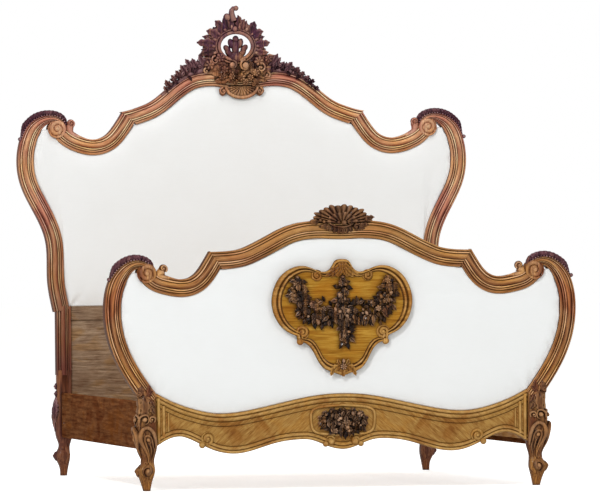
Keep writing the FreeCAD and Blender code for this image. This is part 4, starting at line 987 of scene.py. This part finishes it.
def garland(board_y, carved):
    """Festoon of fruit, flowers and leaves hung from three ribbons, with a drop below its middle."""
    shape = Shape()
    rng = random.Random(5)
    runs = [(shield_spot(FESTOON) * (hand, 1), FESTOON_COUNT, FESTOON_REACH) for hand in (-1, 1)]
    for spots, count, reaches in runs + [(shield_spot(DROP), DROP_COUNT, DROP_REACH)]:
        line = Line(spots)
        for share in np.linspace(0.0, 1.0, count):
            wide = GARLAND_REACH * np.interp(share, np.linspace(0, 1, len(reaches)), reaches)
            cluster(shape, rng, line.along(share), wide, depth=-8, size=20, dim=0.45, spread=1.6)
    flower(shape, GARLAND_FLOWER, 14, depth=-14, height=8, petals=7)
    bead(shape, GARLAND_BUD, -16, 7, stretch=1.3, turn=math.pi / 2, fine=COARSE_BEAD)
    for x in (-1, 0, 1):
        top = shield_spot((x * FESTOON[0][0], FESTOON[0][1]))
        # Ribbon knots painted a little in shade, with painted highlights on their leaves
        bead(shape, top + (0, 7), -14, 6.5, stretch=1.2, rub=-0.2)
        for hand in (-1, 1):
            leaf(shape, top + (0, 6), top + (hand * 14, -16), 12, depth=-10, thick=6, curl=2, lobes=2,
                 shade=0.4)
    piece("foot_garland", shape, board_y, carved)


def apron_edge(shares, x):
    """Heights of an apron edge at places across the bed."""
    points = whole(level(shares, APRON_LEVELS)[::-1])[::-1]
    return Spline(points[:, 0], points[:, 1:]).at(x)[0][..., 0]


def leaning(points):
    """Grain of the apron's matched veneers, which rises towards the middle from either side."""
    way = ways(math.radians(VENEER_LEAN))
    flat = np.stack([-np.abs(points[..., 0]), points[..., 2]], -1)
    return np.stack([flat @ way, flat @ left_of(way), points[..., 1]], -1)


def apron(board_y, veneer):
    """Serpentine apron with moulded edges."""
    low, high = corners("foot_apron")
    x = np.linspace(low[0], high[0], 180)
    top, bottom = (apron_edge(shares, x)[:, None] for shares in (APRON_TOP, APRON_BOTTOM))
    drop, depth = np.array(APRON_UPPER).T
    rise, rear = np.array(APRON_LOWER).T
    z = np.concatenate([top - drop, bottom + rise], 1)
    deep = np.concatenate([depth, rear])
    points = at_depth(np.stack([x[:, None] + 0 * z, z], -1), deep)
    shape = Shape()
    # Painted light by depth: painted highlight on the front, painted shade in the deep grooves
    rub = np.interp(deep, APRON_LIGHT_DEPTHS, APRON_PAINTED_LIGHT)
    shape.grid(points, leaning(points), around=True, caps=True, rub=rub)
    piece("foot_apron", shape, board_y, veneer)


def apron_trim(board_y, veneer):
    """Small mouldings of the apron: uprights at its ends, balls and scrolls on its edge, a framed tablet."""
    shape = Shape()
    for hand in (-1, 1):
        side = np.array([hand, 1])
        for place, radius, below, above in APRON_UPRIGHTS:
            x = np.array([hand * place])
            ends = apron_edge(APRON_TOP, x)[0] - below, apron_edge(APRON_BOTTOM, x)[0] + above
            tube(shape, np.stack([np.full(8, hand * place), np.linspace(*ends, 8)], -1), 11.0, radius)
        for spot, radius in APRON_BALLS:
            bead(shape, side * spot, 5, radius, squash=0.9)
        for spot, radius, turns, way in APRON_SCROLLS:
            boss(shape, side * spot, radius, depth=7, height=6, back=14, hand=hand * way, turns=turns)
    ring = Line(whole(np.array(APRON_TABLET, float)))
    tube(shape, ring.along(np.linspace(0, 1, 90)), 9.0, 5.0)
    piece("foot_apron_trim", shape, board_y, veneer, nodes=())


def bouquet(board_y, carved):
    """Oval bouquet on the apron: massed fruit and flowers on a low plate, ringed by leaves."""
    low, high = (corner[[0, 2]] for corner in corners("foot_bouquet"))
    middle, half = (low + high) / 2, (high - low) / 2
    shape = Shape()
    rng = random.Random(23)
    for number in range(BOUQUET_COUNT):
        angle, out = rng.uniform(0, 2 * math.pi), math.sqrt(rng.random()) * BOUQUET_FULL
        spot = middle + half * out * ways(angle)
        cluster(shape, rng, spot, reach=3, depth=1 + 7 * out, size=18, dim=0.3)
    plate(shape, middle, half * BOUQUET_FULL, front=5, back=12)
    for hand in (-1, 1):
        for share in 0.16 + 0.14 * np.arange(6):
            way = half * ways(math.pi * (0.5 - hand * share))
            leaf(shape, middle + way * 0.7, middle + way, 26, depth=11, thick=7, curl=3)
    piece("foot_bouquet", shape, board_y, carved)


def board(shape, low, high, axis, rounding, shift=0.0):
    """Sawn board with rounded edges, its grain along one axis."""
    others = [a for a in range(3) if a != axis]
    middle, half = (np.array(low) + high) / 2, (np.array(high) - low) / 2
    way = ways(full_turn(24) + math.pi / 24)
    ends = np.array([0.0, 0.3, 1.0]) * rounding
    inset = np.concatenate([ends[::-1], np.zeros(6), ends])
    inner = np.linspace(rounding, 2 * half[axis] - rounding, 8)[1:-1]
    place = np.concatenate([ends, inner, 2 * half[axis] - ends[::-1]]) + low[axis]
    points = np.zeros((len(place), len(way), 3))
    points[..., axis] = place[:, None]
    for column, other in enumerate(others):
        flat = np.sign(way[:, column]) * (half[other] - rounding) + way[:, column] * rounding
        points[..., other] = middle[other] + flat * (1 - inset / half[other])[:, None]
    shape.grid(points, points[..., [axis] + others] + shift, around=True, caps=True)


def boards(slat_wood, rail_wood, panel_wood):
    """Rails, ledgers, slats and the plain boards under the head panel."""
    rows = []
    for side in ("left", "right"):
        rows += [("side_rail_" + side, rail_wood, "walnut_rail", "rail_" + side, 1, 5.0),
                 ("slat_ledger_" + side, slat_wood, "beech", "rail_" + side, 1, 2.0)]
    rows += [("head_lower_rail", panel_wood, "plain_panel", ENDS, 0, 5.0),
             ("head_lower_panel", panel_wood, "plain_panel", ENDS, 0, 1.5)]
    for name, material, slot, body, axis, rounding in rows:
        plank = Shape()
        board(plank, *corners(name), axis, rounding)
        piece(name, plank, 0.0, material, body=body)
    low, high = corners("slats")
    mat = Shape()
    pitch = (high[1] - low[1] - SLAT_WIDTH) / (SLAT_COUNT - 1)
    for number in range(SLAT_COUNT):
        start = low[1] + number * pitch
        ends = (low[0], start, low[2]), (high[0], start + SLAT_WIDTH, high[2])
        board(mat, *ends, 0, 4.0, shift=SLAT_SHIFT * number)
    piece("slats", mat, 0.0, slat_wood, body="slat_mat")


def outline(node):
    """Edges round the front of a panel's cloth, as pairs of (across, height)."""
    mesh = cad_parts[node].data
    spots = np.array([v.co for v in mesh.vertices]) / MM
    uses = {}
    for face in mesh.polygons:
        if face.normal.y < -0.9:
            ring = list(face.vertices)
            for a, b in zip(ring, ring[1:] + ring[:1]):
                key = frozenset((tuple(np.round(spots[a], 2)), tuple(np.round(spots[b], 2))))
                uses[key] = uses.get(key, 0) + 1
    return np.array([[(p[0], p[2]) for p in key] for key, count in uses.items() if count == 1])


def columns_of(edges, count):
    """Places across a panel, closer together at its ends, with its lowest and highest point there."""
    reach = np.abs(edges[..., 0]).max() - 1.0
    x = reach * np.sin(np.linspace(-1, 1, count) * math.pi / 2)
    a, b = edges[:, 0], edges[:, 1]
    low, high = [], []
    for place in x:
        share = (place - a[:, 0]) / np.where(a[:, 0] == b[:, 0], 1e-9, b[:, 0] - a[:, 0])
        z = (a[:, 1] + share * (b[:, 1] - a[:, 1]))[(share >= 0) & (share <= 1)]
        low.append(z.min())
        high.append(z.max())
    return x, np.array(low), np.array(high)


def slab(x, z, near, far):
    """Closed shape of two sheets over the same places, at depths in front and behind."""
    plane = np.stack([x[:, None] + 0 * z, z], -1)
    shape = Shape()
    points = np.concatenate([at_depth(plane, near), at_depth(plane, far)[:, ::-1]], 1)
    shape.grid(points, around=True, caps=True)
    return shape


def upholstery(prefix, board_y, cloth, held_shape=None):
    """Padded panel: cloth drawn over the padding, held all round, swollen by simulation."""
    x, low, high = columns_of(outline(prefix + "_cover"), PANEL_GRID[0])
    share = (1 - np.cos(np.linspace(0, math.pi, PANEL_GRID[1]))) / 2
    z = low[:, None] + (high - low)[:, None] * share
    deep = np.full_like(z, COVER_DEPTH + CLOTH_TUCK)
    deep[1:-1, 1:-1] = COVER_DEPTH
    nodes = [prefix + "_cover", prefix + "_pad"]
    made = piece(prefix + "_panel", slab(x, z, deep, PAD_BACK), board_y, cloth, nodes=nodes)
    spots = np.array([v.co for v in made.data.vertices]) / MM - np.array([0, board_y, 0])
    held = spots[:, 1] > COVER_DEPTH + 0.5
    if held_shape is not None:
        held |= inside(spots[:, [0, 2]], held_shape)
    swell(made, held)


def inside(spots, ring):
    """Which points lie inside a closed ring of points."""
    x, z = spots[:, :1], spots[:, 1:]
    a, b = ring, np.roll(ring, -1, 0)
    spans = (a[:, 1] > z) != (b[:, 1] > z)
    rise = np.where(a[:, 1] == b[:, 1], 1e-9, b[:, 1] - a[:, 1])
    cross = a[:, 0] + (z - a[:, 1]) / rise * (b[:, 0] - a[:, 0])
    return (spans & (x < cross)).sum(1) % 2 == 1


def swell(made, held):
    """Lets air pressure fill a padded piece between its held points, then keeps the form it took."""
    start = np.array([v.co for v in made.data.vertices])
    pins = made.vertex_groups.new(name="held")
    pins.add(np.nonzero(held)[0].tolist(), 1.0, "REPLACE")
    cloth = made.modifiers.new("swell", "CLOTH")
    cloth.settings.quality = 6
    cloth.settings.mass = 0.25
    cloth.settings.tension_stiffness = cloth.settings.compression_stiffness = CLOTH_STIFFNESS
    cloth.settings.shear_stiffness = CLOTH_STIFFNESS / 2
    cloth.settings.bending_stiffness = 0.6
    cloth.settings.vertex_group_mass = "held"
    cloth.settings.use_pressure = True
    cloth.settings.uniform_pressure_force = CLOTH_PRESSURE
    cloth.settings.effector_weights.gravity = 0.0
    cloth.collision_settings.use_collision = False
    scene = bpy.context.scene
    for number in range(CLOTH_STEPS):
        scene.frame_set(number + 1)
    seen = made.evaluated_get(bpy.context.evaluated_depsgraph_get())
    moved = np.array([v.co for v in seen.data.vertices]) - start
    made.modifiers.clear()
    made.vertex_groups.clear()
    scene.frame_set(1)
    length = np.linalg.norm(moved, axis=1, keepdims=True)
    cap = CLOTH_CAP * MM
    moved *= cap * np.tanh(length / cap) / np.maximum(length, 1e-9)
    made.data.vertices.foreach_set("co", (start + moved).astype(np.float32).ravel())
    made.data.update()


def back_cloth(prefix, board_y, cloth):
    """Cloth stretched over the back of a panel and tacked to its frame."""
    node = prefix + "_back_cloth"
    x, low, high = columns_of(outline(node), BACK_GRID[0])
    tall = (high - low)[:, None]
    share = np.linspace(0, 1, BACK_GRID[1])
    z = low[:, None] + tall * share
    near, far = (corner[1] - board_y for corner in corners(node))
    edge = np.minimum(np.minimum(share, 1 - share) * tall, (x.max() - np.abs(x))[:, None])
    slack = BACK_SLACK * np.clip(edge / 60, 0, 1) * np.sin(x[:, None] / 47) * np.sin(z / 61)
    sheet = slab(x, z, near + 0.2 + slack, far - 0.2 + slack)
    made = piece(node, sheet, board_y, cloth)
    area = float(((tall[1:, 0] + tall[:-1, 0]) / 2 * np.diff(x)).sum()) * MM * MM


def tone(red, green, blue):
    """Linear colour of a screen colour."""
    return tuple(((c / 255 + 0.055) / 1.055) ** 2.4 for c in (red, green, blue)) + (1.0,)


class Nodes:
    """Shader nodes of a material or of the world."""

    def __init__(self, owner):
        self.owner = owner
        owner.use_nodes = True
        self.tree = owner.node_tree
        self.tree.nodes.clear()

    def node(self, kind, inputs=(), **settings):
        """Adds a node; an input is linked to a socket or set to a value."""
        made = self.tree.nodes.new("ShaderNode" + kind)
        for key, value in settings.items():
            setattr(made, key, value)
        for key, value in dict(inputs).items():
            if isinstance(value, bpy.types.NodeSocket):
                self.tree.links.new(value, made.inputs[key])
            else:
                made.inputs[key].default_value = value
        return made

    def scaled(self, vector, sizes):
        return self.node("VectorMath", {0: vector, 1: sizes}, operation="MULTIPLY").outputs[0]

    def noise(self, vector, detail=4.0, rough=0.55, warp=0.0):
        return self.node("TexNoise", {
            "Vector": vector, "Scale": 1.0, "Detail": detail, "Roughness": rough,
            "Distortion": warp}).outputs[0]

    def ramp(self, share, stops):
        made = self.node("ValToRGB", {0: share})
        points = made.color_ramp.elements
        while len(points) < len(stops):
            points.new(0.5)
        for point, (place, colour) in zip(points, stops):
            point.position, point.color = place, colour
        return made.outputs[0]

    def grey(self, share, low, high, start=0.0, end=1.0):
        """Share that runs from start to end while another runs from low to high."""
        made = self.node("MapRange", {0: share, 1: low, 2: high, 3: start, 4: end}, clamp=True)
        return made.outputs[0]

    def math(self, operation, a, b):
        return self.node("Math", {0: a, 1: b}, operation=operation).outputs[0]

    def sum(self, a, share_a, b, share_b):
        return self.math("ADD", self.math("MULTIPLY", a, share_a), self.math("MULTIPLY", b, share_b))

    def mix(self, share, a, b, mode="MIX"):
        return self.node("Mix", {0: share, 6: a, 7: b}, data_type="RGBA", blend_type=mode).outputs[2]

    def bump(self, height, strength, distance):
        return self.node("Bump", {"Height": height, "Strength": strength, "Distance": distance}).outputs[0]

    def attribute(self, name, output):
        return self.node("Attribute", attribute_name=name).outputs[output]

    def place(self):
        """Places on a piece or a CAD node, in millimetres."""
        return self.scaled(self.node("TexCoord").outputs["Object"], (1 / MM,) * 3)

    def seen(self):
        """1 for what the eye sees, straight on, in a reflection or through glass; 0 for light on its way."""
        path = self.node("LightPath").outputs
        other = self.math("MAXIMUM", path["Is Glossy Ray"], path["Is Transmission Ray"])
        return self.math("MAXIMUM", path["Is Camera Ray"], other)

    def surface(self, colour, rough, normal, **constants):
        """Material with these as its surface."""
        inputs = {"Base Color": colour, "Roughness": rough, "Normal": normal}
        inputs.update({key.replace("_", " "): value for key, value in constants.items()})
        shader = self.node("BsdfPrincipled", inputs)
        self.node("OutputMaterial", {"Surface": shader.outputs[0]})
        return self.owner


def finish(name):
    """Nodes of a new material."""
    return Nodes(bpy.data.materials.new(name))


def wood(name, tones, tint, warm=(255, 238, 204), axis=None, figure=1.0, rough=0.32, painted_crevice_shade=0.7, reach=0.004,
         coat=0.16, lift=0.04, above=None, close=1.0, short=1.0, painted_shade_scale=0.2):
    """Varnished wood: grain streaks, pores, cloudy tints, painted shade in hollows, painted highlights on
    edges.
    """
    dark, mid, light = (tone(*each) for each in tones)
    # Colours of the painted shade and of the painted highlight, which lift pales further
    deep = tuple(c * painted_shade_scale for c in dark[:3]) + (1.0,)
    painted_highlight = tuple(min(1.0, c * 1.35 + lift) for c in light[:3]) + (1.0,)
    f = finish(name)
    grain = f.attribute("grain", "Vector") if axis is None else f.place()

    def drawn(along, across):
        sizes = [across * close] * 3
        sizes[axis or 0] = along * short * close
        return f.scaled(grain, sizes)

    broad = f.noise(drawn(0.0035, 0.06), 5.0, 0.62, 0.9 * figure)
    fine = f.noise(drawn(0.012, 0.42), 3.0)
    pores = f.noise(drawn(0.04, 1.2), 2.0)
    cloud = f.noise(drawn(0.004, 0.008), 3.0, 0.5, 0.6)
    colour = f.ramp(f.sum(broad, 0.66, fine, 0.34), [(0.37, dark), (0.49, mid), (0.62, light)])
    # Painted light of each point, the painted highlight broken into patches
    rub = f.attribute("rub", "Fac")
    patchy = f.grey(f.noise(drawn(0.012, 0.03), 2.0), 0.34, 0.58, 0.3, 1.0)
    colour = f.mix(f.math("MULTIPLY", f.grey(rub, 0.0, 1.0), patchy), colour, painted_highlight)
    colour = f.mix(f.grey(cloud, 0.52, 0.64, 0.0, 0.9), colour, tone(*tint), "MULTIPLY")
    colour = f.mix(f.grey(cloud, 0.36, 0.48, 0.9, 0.0), colour, tone(*warm), "MULTIPLY")
    # Colour mixed in by height: on the crest a painted purple cast of the light towards the top; on the
    # frames a tone that changes with height
    if above is not None:
        low, high, share, shade = above
        height = f.node("SeparateXYZ", {0: f.place()}).outputs["Z"]
        colour = f.mix(f.grey(height, low, high, 0.0, share), colour, tone(*shade))
    colour = f.mix(f.grey(pores, 0.54, 0.66, 0.0, 0.5), colour, dark)
    # Painted shade where the painted light is below 0
    colour = f.mix(f.grey(rub, -1.0, 0.0, 0.75, 0.0), colour, deep)
    # Painted shade in crevices, from ambient occlusion
    occlusion = f.node("AmbientOcclusion", {"Distance": reach}, samples=6).outputs["AO"]
    colour = f.mix(f.grey(occlusion, 0.3, 0.95, painted_crevice_shade, 0.0), colour, deep)
    shine = f.grey(fine, 0.3, 0.7, rough - 0.06, rough + 0.1)
    normal = f.bump(f.sum(pores, -0.6, fine, 1.0), 0.18, 0.0005)
    return f.surface(colour, shine, normal, Specular_IOR_Level=0.0, Coat_Weight=coat, Coat_Roughness=0.18)


def weave(name, colour, shade, thread, strength=0.5, cloudy=0.5):
    """Plain woven cloth: threads both ways over a soft unevenness."""
    f = finish(name)
    place = f.place()
    bands = [
        f.node("TexWave", {
            "Vector": place, "Scale": 2 * math.pi / (20 * thread), "Distortion": 0.6, "Detail": 1.0,
            "Detail Scale": 0.5}, wave_type="BANDS", bands_direction=way).outputs[0]
        for way in ("X", "Z")]
    threads = f.math("MAXIMUM", *bands)
    slub = f.noise(f.scaled(place, (0.03, 0.03, 0.5)), 3.0)
    cloud = f.noise(f.scaled(place, (0.006,) * 3), 3.0)
    base = f.mix(f.grey(f.sum(threads, 0.35, slub, 0.5), 0.2, 0.75, 0.45, 0.0), tone(*colour), tone(*shade))
    base = f.mix(f.grey(cloud, 0.45, 0.75, 0.0, cloudy), base, tone(*shade))
    normal = f.bump(f.sum(threads, 1.0, slub, 0.8), strength, thread * MM * 0.35)
    return f.surface(base, 0.85, normal, Sheen_Weight=0.2, Sheen_Roughness=0.5)


def metal(name, colour, shade, rough):
    """Plated steel with fine scratches and dull patches."""
    f = finish(name)
    place = f.place()
    scratch = f.noise(f.scaled(place, (0.08, 1.6, 0.08)), 3.0)
    patch = f.noise(f.scaled(place, (0.06,) * 3), 4.0)
    base = f.mix(f.grey(patch, 0.4, 0.7), tone(*colour), tone(*shade))
    shine = f.grey(scratch, 0.3, 0.7, rough - 0.08, rough + 0.14)
    return f.surface(base, shine, f.bump(scratch, 0.15, 0.0002), Metallic=0.9)


def finish_nodes(finishes):
    """Gives the nodes that stay as they are the finish of their kind."""
    for name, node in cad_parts.items():
        for part, material in finishes:
            if part in name:
                node.data.materials.clear()
                node.data.materials.append(material)
                break


def floor():
    """Pale floor that is white to the eye and keeps the bed's shadow."""
    half = FLOOR_REACH
    mesh = bpy.data.meshes.new("floor")
    spots = [(-half, -half, 0), (half, -half, 0), (half, half, 0), (-half, half, 0)]
    mesh.from_pydata(spots, [], [(0, 1, 2, 3)])
    f = finish("floor")
    speck = f.noise(f.scaled(f.node("TexCoord").outputs["Object"], (6.0,) * 3), 3.0)
    colour = f.ramp(speck, [(0.3, tone(228, 228, 226)), (0.7, tone(234, 234, 233))])
    glow = f.node("Emission", {"Color": (1, 1, 1, 1), "Strength": f.math("MULTIPLY", f.seen(), FLOOR_GLOW)})
    lit = f.node("BsdfDiffuse", {"Color": colour})
    both = f.node("AddShader", {0: lit.outputs[0], 1: glow.outputs[0]})
    f.node("OutputMaterial", {"Surface": both.outputs[0]})
    mesh.materials.append(f.owner)
    made = bpy.data.objects.new("floor", mesh)
    bpy.context.scene.collection.objects.link(made)


def surroundings():
    """Even light from all round, with a white background for the eye and for reflections."""
    f = Nodes(bpy.data.worlds.new("studio"))
    bpy.context.scene.world = f.owner
    strength = f.grey(f.seen(), 0.0, 1.0, AMBIENT, 1.0)
    light = f.node("Background", {"Color": (1, 1, 1, 1), "Strength": strength})
    f.node("OutputWorld", {"Surface": light.outputs[0]})


def lamp(name, place, aim, size, share):
    """Soft lamp whose light on a surface that faces it is a share of full white."""
    place, aim = Vector(place), Vector(aim)
    data = bpy.data.lights.new(name, "AREA")
    data.shape, data.size = "DISK", size
    data.energy = share * math.pi ** 2 * (place - aim).length_squared
    made = bpy.data.objects.new(name, data)
    made.location = place
    made.rotation_euler = (aim - place).to_track_quat("-Z", "Y").to_euler()
    bpy.context.scene.collection.objects.link(made)


def camera():
    """Camera at the photograph's angle, turned a little about its own axis."""
    turn, roll = math.radians(CAMERA_AZIMUTH), math.radians(CAMERA_ROLL)
    ahead = Vector((math.sin(turn), math.cos(turn), 0))
    side = Vector((math.cos(turn), -math.sin(turn), 0))
    up = side.cross(ahead)
    right = side * math.cos(roll) + up * math.sin(roll)
    over = up * math.cos(roll) - side * math.sin(roll)
    data = bpy.data.cameras.new("camera")
    data.lens, data.sensor_width, data.clip_end = CAMERA_LENS, 36.0, 200.0
    made = bpy.data.objects.new("camera", data)
    bpy.context.scene.collection.objects.link(made)
    matrix = Matrix((right, over, -ahead)).transposed().to_4x4()
    matrix.translation = Vector(CAMERA_AIM) - ahead * CAMERA_DISTANCE
    made.matrix_world = matrix
    bpy.context.scene.camera = made


head_wood = wood(
    "head_walnut", [(102, 54, 38), (180, 122, 90), (228, 178, 130)], (226, 192, 214), lift=0.16,
    above=(1060, 430, 0.92, (90, 42, 38)))
# Darker and purple towards the top of the crest: a painted colour cast of the light
head_carved = wood(
    "head_carving", [(38, 20, 15), (106, 66, 46), (196, 144, 94)], (232, 212, 212), painted_crevice_shade=0.95, reach=0.022,
    lift=0.12, above=(1575, 1690, 0.5, (76, 40, 84)))
leaf_wood = wood(
    "scroll_leaf", [(40, 22, 28), (84, 50, 58), (136, 94, 94)], (206, 176, 200), painted_crevice_shade=0.9, reach=0.01,
    lift=0.1)
head_leg_wood = wood(
    "head_leg_walnut", [(56, 30, 24), (108, 66, 50), (150, 102, 74)], (206, 180, 196), painted_crevice_shade=0.8, reach=0.01)
foot_wood = wood(
    "foot_walnut", [(68, 32, 16), (138, 88, 54), (196, 144, 88)], (226, 190, 184), warm=(255, 246, 206),
    lift=0.16, above=(830, 900, 0.4, (196, 150, 84)))
foot_carved = wood(
    "foot_carving", [(30, 16, 11), (70, 44, 29), (136, 94, 58)], (206, 174, 170), painted_crevice_shade=0.95, reach=0.014)
garland_wood = wood(
    "garland_carving", [(22, 12, 9), (66, 42, 27), (156, 108, 58)], (214, 180, 164), painted_crevice_shade=0.95, reach=0.018,
    lift=0.16, coat=0.3)
foot_leg_wood = wood(
    "foot_leg_walnut", [(62, 32, 18), (122, 80, 44), (180, 132, 76)], (206, 174, 186), painted_crevice_shade=0.9, reach=0.01)
foot_knee_wood = wood(
    "foot_knee_carving", [(46, 24, 18), (102, 66, 42), (166, 120, 74)], (206, 170, 180), painted_crevice_shade=0.95,
    reach=0.012)
shield_wood = wood(
    "shield_veneer", [(128, 80, 14), (168, 120, 38), (192, 148, 60)], (232, 206, 164), figure=2.0, painted_crevice_shade=0.8,
    reach=0.02)
shield_frame = wood(
    "shield_moulding", [(88, 50, 16), (152, 106, 46), (196, 150, 80)], (224, 196, 166), painted_crevice_shade=0.9,
    reach=0.006, painted_shade_scale=0.4)
apron_wood = wood(
    "apron_veneer", [(130, 86, 38), (161, 121, 62), (180, 141, 78)], (218, 190, 160), figure=2.5, painted_crevice_shade=0.6,
    short=2.4, painted_shade_scale=0.5)
panel_wood = wood(
    "plain_veneer", [(88, 66, 50), (132, 107, 85), (164, 140, 114)], (222, 212, 206), rough=0.45, close=2.4)
rail_wood = wood(
    "rail_walnut", [(84, 48, 29), (112, 70, 42), (138, 90, 56)], (222, 200, 190), figure=0.3, rough=0.5,
    coat=0.0, close=1.6)
beech, beech_inside = (
    wood(name, [(176, 132, 92), (206, 166, 122), (222, 188, 148)], (236, 224, 210), axis=axis, rough=0.5,
         coat=0.0)
    for name, axis in (("beech", None), ("beech_inside", 0)))
white_cloth = weave("white_cloth", (241, 243, 243), (232, 233, 231), 1.1, cloudy=0.2)
cotton = weave("cotton_back", (206, 196, 176), (186, 175, 153), 1.4, cloudy=0.35)
tape_cloth = weave("tape", (214, 204, 182), (180, 168, 142), 1.6)
jute = weave("jute", (168, 138, 98), (120, 94, 62), 2.6, strength=0.8)
steel = metal("steel", (168, 168, 166), (120, 116, 110), 0.36)

stile, widths = end_frame(
    "head", HEAD_Y, (HEAD_STILE, HEAD_SHOULDER, HEAD_CREST), HEAD_LEVELS, HEAD_WIDTH, HEAD_STILE_WIDTHS,
    (HEAD_VOLUTE, HEAD_BUD), HEAD_MITRE, head_wood)
crescent = scroll_leaf(stile, widths, HEAD_LEAF_FIRST, HEAD_LEAF_RISE)
pair("head_scroll_leaf", crescent, HEAD_Y, leaf_wood)
stile, widths = end_frame(
    "foot", FOOT_Y, (FOOT_STILE, FOOT_SHOULDER, FOOT_CREST), FOOT_LEVELS, FOOT_WIDTH, FOOT_STILE_WIDTHS,
    (FOOT_VOLUTE, FOOT_BUD), FOOT_MITRE, foot_wood)
crescent = scroll_leaf(stile, widths, FOOT_LEAF_FIRST, FOOT_LEAF_RISE)
pair("foot_scroll_leaf", crescent, FOOT_Y, leaf_wood)
legs("head", HEAD_LEG, head_knee(), HEAD_Y, head_leg_wood, leaf_wood)
legs("foot", FOOT_LEG, foot_knee(), FOOT_Y, foot_leg_wood, foot_knee_wood)
piece("head_crest_carving", crest_carving(), HEAD_Y, head_carved)
piece("head_swag_right", swag(SWAG_RIGHT), HEAD_Y, leaf_wood)
piece("head_swag_left", swag(SWAG_LEFT), HEAD_Y, leaf_wood)
piece("foot_shell", foot_shell(), FOOT_Y, foot_carved)
shield(FOOT_Y, shield_wood, shield_frame)
garland(FOOT_Y, garland_wood)
apron(FOOT_Y, apron_wood)
apron_trim(FOOT_Y, apron_wood)
bouquet(FOOT_Y, garland_wood)
boards(beech, rail_wood, panel_wood)
upholstery("head", HEAD_Y, white_cloth)
upholstery("foot", FOOT_Y, white_cloth, shield_outline())
back_cloth("head", HEAD_Y, cotton)
back_cloth("foot", FOOT_Y, cotton)
finish_nodes([
    ("hessian", jute), ("webbing", jute), ("chassis", beech_inside), ("dowels", beech_inside),
    ("tapes", tape_cloth), ("hook", steel), ("screws", steel), ("pins", steel), ("rivets", steel)])

floor()
surroundings()
for row in LAMPS:
    lamp(*row)
camera()
bpy.context.scene.view_settings.view_transform = "Standard"
